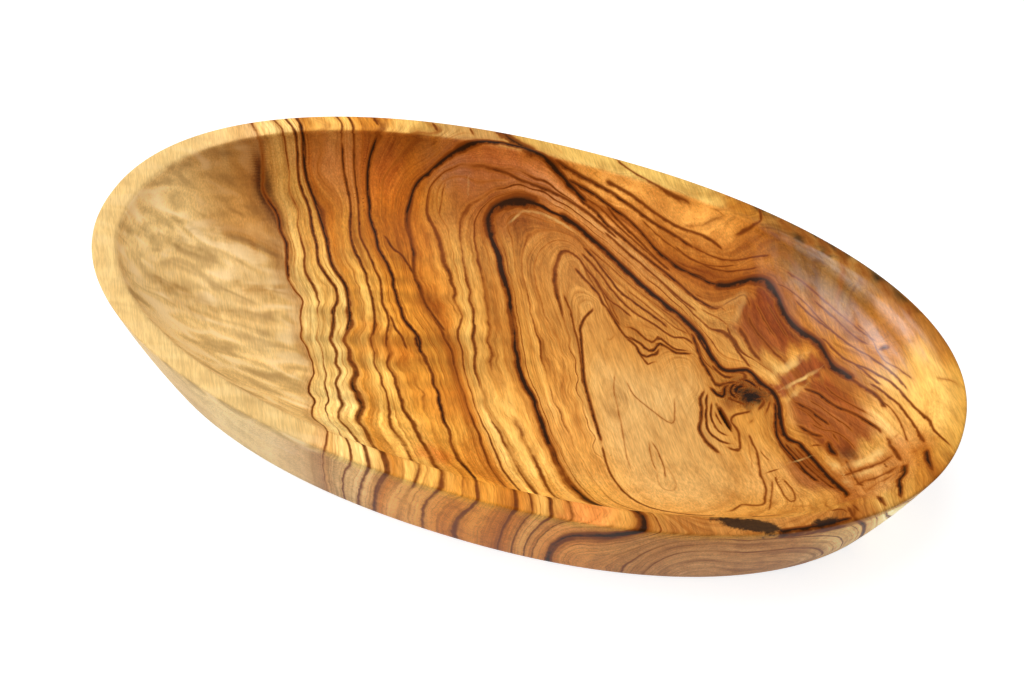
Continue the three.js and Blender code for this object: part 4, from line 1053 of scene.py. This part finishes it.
# The finish. Bands and lines follow age.
oliveWood = {
    "oldest": 128,              # end of the scale of ages
    "sapwoodAges": (111, 117),  # heartwood turns to sapwood between these
    "bands": [
        (0, (232, 166, 80)), (16, (230, 164, 78)), (24, (222, 152, 66)), (36, (220, 150, 62)),
        (40, (196, 120, 42)), (44, (228, 156, 66)), (52, (238, 178, 86)),
        (59, (216, 140, 50)), (62, (186, 110, 34)), (66, (206, 130, 42)),
        (74, (222, 146, 50)), (80, (218, 142, 48)), (85, (238, 176, 80)), (90, (238, 178, 84)),
        (93, (212, 138, 48)), (97.5, (246, 200, 112)), (102.5, (246, 202, 116)), (108, (246, 206, 124)),
        (111, (236, 184, 102)), (112.4, (214, 164, 98)), (117, (230, 186, 113)), (127, (240, 199, 128)),
    ],
    # age, half width, strength
    "lines": [
        (22, 0.45, 0.72), (26, 0.25, 0.42), (30, 0.35, 0.62), (33.4, 0.25, 0.45), (37, 0.35, 0.58),
        (40, 1.2, 1.14), (43.4, 0.25, 0.36), (46, 0.4, 0.62), (50, 0.55, 0.7), (53, 0.25, 0.36),
        (56, 0.55, 0.68), (62, 0.8, 0.76), (66, 0.3, 0.42), (70.6, 0.3, 0.42), (76, 0.6, 0.84),
        (79.4, 0.3, 0.4), (83, 0.5, 0.7), (86, 0.25, 0.36), (88, 0.5, 0.68), (91, 0.25, 0.4),
        (95, 0.62, 0.84), (97.6, 0.22, 0.36), (100, 0.58, 0.72), (105, 0.4, 0.68), (109, 0.22, 0.36),
        (111.8, 0.42, 0.72),
    ],
    "lineFlanks": (2.8, 2.1),   # half widths over which a line fades below and above its age
    "markSlope": 0.38,          # how fast a mark fades from its middle, for each half width
    # noise in the solid wood: scale, detail, and how far it moves the lines, or roughness and distortion
    "tremble": (0.13, 4, 1.5),
    "wander": (0.3, 3, 1.8),
    "inkGrain": (0.3, 4, 0.65),
    "blotGrain": (0.42, 6, 0.7),
    "glintGrain": (0.3, 3),
    "twist": (0.11, 3, 0.5, 3.5),
    # noise drawn out in one direction: turn in plan, cell sizes, detail, roughness, distortion
    "ripple": (16, (45, 7.5, 10), 1.5),
    "pores": (-58, (7, 0.8, 0.8), 4, 0.65),
    "grain": (-58, (5, 0.5, 0.6), 3, 0.6),
    "mottle": (-50, (13, 3.2, 4), 3, 0.55),
    "wisps": (6, (20, 6.4, 8), 1.3, 0.4, 0.9),
    "scuffs": (-50, (16, 3.5, 4), 3),
    # noise along the growth lines: scale along, scale across, detail
    "broadStreaks": (0.022, 0.27, 4),
    "fineStreaks": (0.035, 1.5, 4),
    "hairStreaks": (0.014, 0.7, 2),
    "wornStreaks": (0.04, 0.45, 2),
    "streakRoughness": 0.6,
    # what a noise gives: its low and high value, and what each becomes
    "poreTones": (0.3, 0.7, 0.88, 1.09),
    "grainTones": (0.3, 0.7, 0.86, 1.12),
    "shimmerTones": (-0.16, 0.16, 0.76, 1.14),
    "cloudShare": (0.46, 0.76, 0.0, 0.7),
    "silkShare": (0.54, 0.26, 0.0, 0.7),
    "wornShare": (0.3, 0.62, 0.55, 1.08),
    "glintPatches": (0.3, 0.6, 0.4, 1.0),
    "scuffTones": (0.35, 0.62, 0.4, 1.15),
    "blotShare": (1.0, 1.35, 0.0, 0.92),
    "vividShare": (118, 110, 0.2, 1.0),    # this one goes by age
    "glintShare": (1.4, 0.1),              # by the way from a mark, in half widths
    "haloShare": (0.06, 0.45, 0.0, 0.5),   # and these by strength of the ink
    "flankShare": (0.32, 0.6, 0.0, 0.9),
    "inkShare": (0.6, 0.96),
    # the same by stops: value, and grey or colour
    "broadTints": [(0.32, (0.62, 0.50, 0.40)), (0.5, 1.0), (0.68, (1.16, 1.28, 1.5))],
    "fineTints": [(0.32, (0.80, 0.72, 0.62)), (0.5, 1.0), (0.68, (1.08, 1.12, 1.18))],
    "mottleTints": [(0.3, (0.80, 0.73, 0.66)), (0.5, 1.0), (0.7, (1.10, 1.13, 1.18))],
    "hairLines": [(0.40, 0), (0.425, 0.6), (0.45, 0), (0.53, 0), (0.55, 0.8), (0.565, 0), (0.64, 0),
                  (0.66, 0.5), (0.68, 0)],
    "hairShare": [(0, 0.0), (14, 0.06), (20, 0.4), (38, 0.6), (44, 0.35), (60, 0.4), (92, 0.35),
                  (110, 0.2), (113, 0.0)],
    "swirlLines": [(0.34, 0), (0.38, 0.8), (0.42, 0), (0.47, 0), (0.50, 0.9), (0.53, 0.1), (0.58, 0),
                   (0.61, 0.8), (0.65, 0)],
    # what a share is multiplied by, and what is added
    "broadShare": (0.95, 0.05),
    "poreShare": (-0.6, 1.0),
    "mottleShare": (-0.5, 0.8),
    "inkTones": (0.9, 0.65),
    "rippleReach": 4,           # how far curly grain moves the lines
    "blotRaggedness": 1.3,
    # dyes, as a painter reads them; glint is the colour of the pale marks, partly painted highlights
    "ink": (50, 24, 5),
    "flank": (122, 56, 6),
    "halo": (176, 98, 26),
    "hair": (130, 70, 18),
    "blot": (34, 24, 18),
    "glint": (248, 204, 122),
    "sapCloud": (168, 130, 78),
    "sapSilk": (246, 214, 160),
    # polish
    "roughness": 0.42,
    "specular": 0.06,
    "coatRoughness": 0.3,
    "coatIor": 1.85,
}


def oliveWoodMaterial(finish):
    material = bpy.data.materials.new("oliveWood")
    material.use_nodes = True
    tree = material.node_tree
    shader = tree.nodes["Principled BSDF"]
    where = addNode(tree, "TexCoord").outputs["Object"]
    solid = addNode(tree, "Mapping", {"Vector": where, "Scale": (1 / mm,) * 3}).outputs[0]
    curl, lively, ruled = attribute(tree, "curl"), attribute(tree, "lively"), attribute(tree, "ruled")
    oldest = finish["oldest"]

    def wavering(scale, detail, reach):
        # as far to one side as to the other
        return maths(tree, "MULTIPLY_ADD", noiseAt(tree, solid, scale, detail), reach, -reach / 2)

    def drawnOut(turn, sizes, *settings):
        # noise in a space whose unit is long in one direction, so that it runs that way
        inputs = {"Vector": solid, "Rotation": (0, 0, math.radians(turn)), "Scale": sizes}
        space = addNode(tree, "Mapping", inputs, vector_type="TEXTURE").outputs[0]
        return noiseAt(tree, space, 1, *settings)

    def shaded(colour, tone, share=1.0):
        return blend(tree, "MULTIPLY", share, colour, tone)

    def dyed(colour, share, name):
        return blend(tree, "MIX", share, colour, (*linear(*finish[name]), 1))

    # the drawn lines get a natural tremble, and ripples where the grain is curly
    ripple = maths(tree, "SUBTRACT", drawnOut(*finish["ripple"]), 0.5)
    curled = times(tree, ripple, curl)
    age = maths(tree, "ADD", attribute(tree, "age"), wavering(*finish["tremble"]))
    age = maths(tree, "MULTIPLY_ADD", curled, finish["rippleReach"], age)
    colour = rampOver(tree, age, 0, oldest, [(place, linear(*c)) for place, c in finish["bands"]])

    # streaks and hair lines run along the growth lines
    split = addNode(tree, "SeparateXYZ", {0: solid}).outputs

    def streak(along, across, detail):
        scaled = [times(tree, split[0], along), times(tree, split[1], along), times(tree, age, across)]
        vector = addNode(tree, "CombineXYZ", dict(enumerate(scaled))).outputs[0]
        return noiseAt(tree, vector, 1, detail, finish["streakRoughness"])

    broad = rampOver(tree, streak(*finish["broadStreaks"]), 0, 1, finish["broadTints"])
    fine = rampOver(tree, streak(*finish["fineStreaks"]), 0, 1, finish["fineTints"])
    vivid = times(tree, lively, step(tree, age, *finish["vividShare"]))
    colour = shaded(colour, broad, maths(tree, "MULTIPLY_ADD", vivid, *finish["broadShare"]))
    colour = shaded(colour, fine, vivid)
    hair = rampOver(tree, streak(*finish["hairStreaks"]), 0, 1, finish["hairLines"])
    hairShare = rampOver(tree, age, 0, oldest, finish["hairShare"])
    colour = dyed(colour, times(tree, times(tree, hair, hairShare), lively), "hair")

    # fine pores lie along the stem, fewer in the sapwood
    sapwood = step(tree, age, *finish["sapwoodAges"])
    pores = step(tree, drawnOut(*finish["pores"]), *finish["poreTones"])
    colour = shaded(colour, pores, maths(tree, "MULTIPLY_ADD", sapwood, *finish["poreShare"]))
    grain = step(tree, drawnOut(*finish["grain"]), *finish["grainTones"])
    colour = shaded(colour, grain)
    mottle = rampOver(tree, drawnOut(*finish["mottle"]), 0, 1, finish["mottleTints"])
    colour = shaded(colour, mottle, maths(tree, "MULTIPLY_ADD", sapwood, *finish["mottleShare"]))

    # chatoyance as a painted sheen: curly grain turns light and dark in the colour
    shimmer = step(tree, curled, *finish["shimmerTones"])
    colour = shaded(colour, shimmer)

    # clouds in the pale sapwood
    wisps = drawnOut(*finish["wisps"])
    folded = times(tree, sapwood, attribute(tree, "folded"))
    colour = dyed(colour, times(tree, step(tree, wisps, *finish["cloudShare"]), folded), "sapCloud")
    colour = dyed(colour, times(tree, step(tree, wisps, *finish["silkShare"]), folded), "sapSilk")

    # the dark growth lines: a tent over each, roughened, then brown on its flanks and black in its middle
    ink = None
    below, beyond = finish["lineFlanks"]
    perRamp = 8  # a ramp holds 32 stops, and a line takes three
    for first in range(0, len(finish["lines"]), perRamp):
        stops = []
        for place, half, strength in finish["lines"][first:first + perRamp]:
            stops += [(place - half * below, 0), (place, strength), (place + half * beyond, 0)]
        part = rampOver(tree, age, stops[0][0] - 1, stops[-1][0] + 1, stops)
        ink = maths(tree, "MAXIMUM", ink, part) if ink else part
    worn = step(tree, streak(*finish["wornStreaks"]), *finish["wornShare"])
    ink = times(tree, times(tree, ink, worn), times(tree, lively, ruled))
    wander = wavering(*finish["wander"])

    def awayFrom(mark):
        return maths(tree, "ABSOLUTE", maths(tree, "ADD", attribute(tree, mark), wander))

    for index in range(len(inkSets)):
        tent = maths(tree, "MULTIPLY_ADD", awayFrom(f"ink{index}"), -finish["markSlope"], 1.0)
        ink = maths(tree, "MAXIMUM", ink, times(tree, tent, attribute(tree, f"ink{index}Strength")))
    swirl = rampOver(tree, noiseAt(tree, solid, *finish["twist"]), 0, 1, finish["swirlLines"])
    ink = maths(tree, "MAXIMUM", ink, times(tree, swirl, attribute(tree, "swirl")))
    rough = maths(tree, "MULTIPLY_ADD", noiseAt(tree, solid, *finish["inkGrain"]), *finish["inkTones"])
    ink = times(tree, ink, rough)
    # tones of the patches: the wood's own, and some painted light, shade and sheen
    colour = shaded(colour, attribute(tree, "stainAndPaintedLight", "Color"))
    for name in ("halo", "flank", "ink"):
        colour = dyed(colour, step(tree, ink, *finish[name + "Share"]), name)

    # the near-black patches, then the pale marks over everything, partly painted highlights
    grainy = noiseAt(tree, solid, *finish["blotGrain"])
    ragged = maths(tree, "MULTIPLY_ADD", grainy, finish["blotRaggedness"], attribute(tree, "blot"))
    colour = dyed(colour, step(tree, ragged, *finish["blotShare"]), "blot")
    patchy = step(tree, noiseAt(tree, solid, *finish["glintGrain"]), *finish["glintPatches"])
    for index in range(len(scratchAndGlintSets)):
        glint = step(tree, awayFrom(f"pale{index}"), *finish["glintShare"])
        glint = times(tree, glint, attribute(tree, f"pale{index}Strength"))
        colour = dyed(colour, times(tree, glint, patchy), "glint")
    tree.links.new(colour, shader.inputs["Base Color"])
    scuffed = step(tree, drawnOut(*finish["scuffs"]), *finish["scuffTones"])
    tree.links.new(times(tree, attribute(tree, "polish"), scuffed), shader.inputs["Coat Weight"])
    shader.inputs["Roughness"].default_value = finish["roughness"]
    shader.inputs["Specular IOR Level"].default_value = finish["specular"]
    shader.inputs["Coat Roughness"].default_value = finish["coatRoughness"]
    shader.inputs["Coat IOR"].default_value = finish["coatIor"]
    print("finish:", len(tree.nodes), "nodes")
    return material


def addObject(name, data):
    made = bpy.data.objects.new(name, data)
    scene.collection.objects.link(made)
    return made


def makeBowl():
    mesh = bowlMesh(bowlForm)
    paintFigure(mesh, bowlForm)
    mesh.materials.append(oliveWoodMaterial(oliveWood))
    bowl = addObject("oliveWoodBowl", mesh)
    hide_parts("bowl")
    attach(bowl, "root")


# Camera, as the photograph was taken
view = {
    "turn": 19.8,                     # degrees round from straight in front
    "rise": 52.1,
    "distance": 0.5208,
    "nearest": 0.01,
    "aim": (0, 0, 0.002),
    "aimPixels": (510.7, 372.1),      # where that point lies in the image
    "imageSize": (1024, 683),
    "focalPixels": 1483,
    "sensor": 36,
}


def makeCamera(view):
    turn, rise = math.radians(view["turn"]), math.radians(view["rise"])
    back = Vector((math.sin(turn) * math.cos(rise), -math.cos(turn) * math.cos(rise), math.sin(rise)))
    data = bpy.data.cameras.new("camera")
    camera = addObject("camera", data)
    camera.location = Vector(view["aim"]) + back * view["distance"]
    camera.rotation_euler = (-back).to_track_quat("-Z", "Y").to_euler()
    wide, tall = view["imageSize"]
    data.sensor_width = view["sensor"]
    data.lens = view["focalPixels"] * view["sensor"] / wide
    data.shift_x = (wide / 2 - view["aimPixels"][0]) / wide
    data.shift_y = (view["aimPixels"][1] - tall / 2) / wide
    data.clip_start = view["nearest"]
    scene.camera = camera
    print("camera:", round(data.lens, 1), "mm lens")


# Studio: a white floor, a soft box at the left, a wide soft light overhead, and an even surround
studio = {
    "surround": 0.46,
    # direction, distance, size, power
    "lights": {
        "keyLight": ((-0.77, -0.34, 0.54), 1.1, 0.85, 5.6),
        "topLight": ((-0.22, 0.12, 0.97), 1.2, 0.9, 6.6),
    },
    "floorSize": 6,
    "floorRoughness": 0.9,
    "floorSeen": 0.5,
    "floorGlow": 0.77,     # lifts the floor to white where it is seen
    "floorBounce": 0.6,    # what the floor gives back to the object, as a larger, greyer room would
}


def areaLight(name, toward, distance, size, power):
    data = bpy.data.lights.new(name, "AREA")
    data.shape, data.size, data.energy = "DISK", size, power
    light = addObject(name, data)
    away = Vector(toward).normalized()
    light.location = away * distance
    light.rotation_euler = away.to_track_quat("Z", "Y").to_euler()


def makeFloor(studio):
    bm = bmesh.new()
    bmesh.ops.create_grid(bm, x_segments=1, y_segments=1, size=studio["floorSize"] / 2)
    mesh = bpy.data.meshes.new("floor")
    bm.to_mesh(mesh)
    bm.free()
    paper = bpy.data.materials.new("whitePaper")
    paper.use_nodes = True
    tree = paper.node_tree
    sheet = tree.nodes["Principled BSDF"]
    rays = addNode(tree, "LightPath").outputs
    direct = maths(tree, "MAXIMUM", rays["Is Camera Ray"], rays["Is Glossy Ray"])
    seen, bounce = ((grey, grey, grey, 1) for grey in (studio["floorSeen"], studio["floorBounce"]))
    tree.links.new(blend(tree, "MIX", direct, bounce, seen), sheet.inputs["Base Color"])
    tree.links.new(times(tree, direct, studio["floorGlow"]), sheet.inputs["Emission Strength"])
    sheet.inputs["Emission Color"].default_value = (1, 1, 1, 1)
    sheet.inputs["Roughness"].default_value = studio["floorRoughness"]
    sheet.inputs["Specular IOR Level"].default_value = 0
    mesh.materials.append(paper)
    floor = addObject("floor", mesh)


def makeStudio(studio):
    world = bpy.data.worlds.new("surround")
    world.use_nodes = True
    scene.world = world
    tree = world.node_tree
    background = tree.nodes["Background"]
    background.inputs["Color"].default_value = (1, 1, 1, 1)
    seen = addNode(tree, "LightPath").outputs["Is Camera Ray"]
    strength = maths(tree, "MULTIPLY_ADD", seen, 1 - studio["surround"], studio["surround"])
    tree.links.new(strength, background.inputs["Strength"])
    for name, light in studio["lights"].items():
        areaLight(name, *light)
    makeFloor(studio)
    print("studio: floor, surround and", len(studio["lights"]), "soft lights")


makeBowl()
makeCamera(view)
makeStudio(studio)
scene.view_settings.view_transform = "Standard"
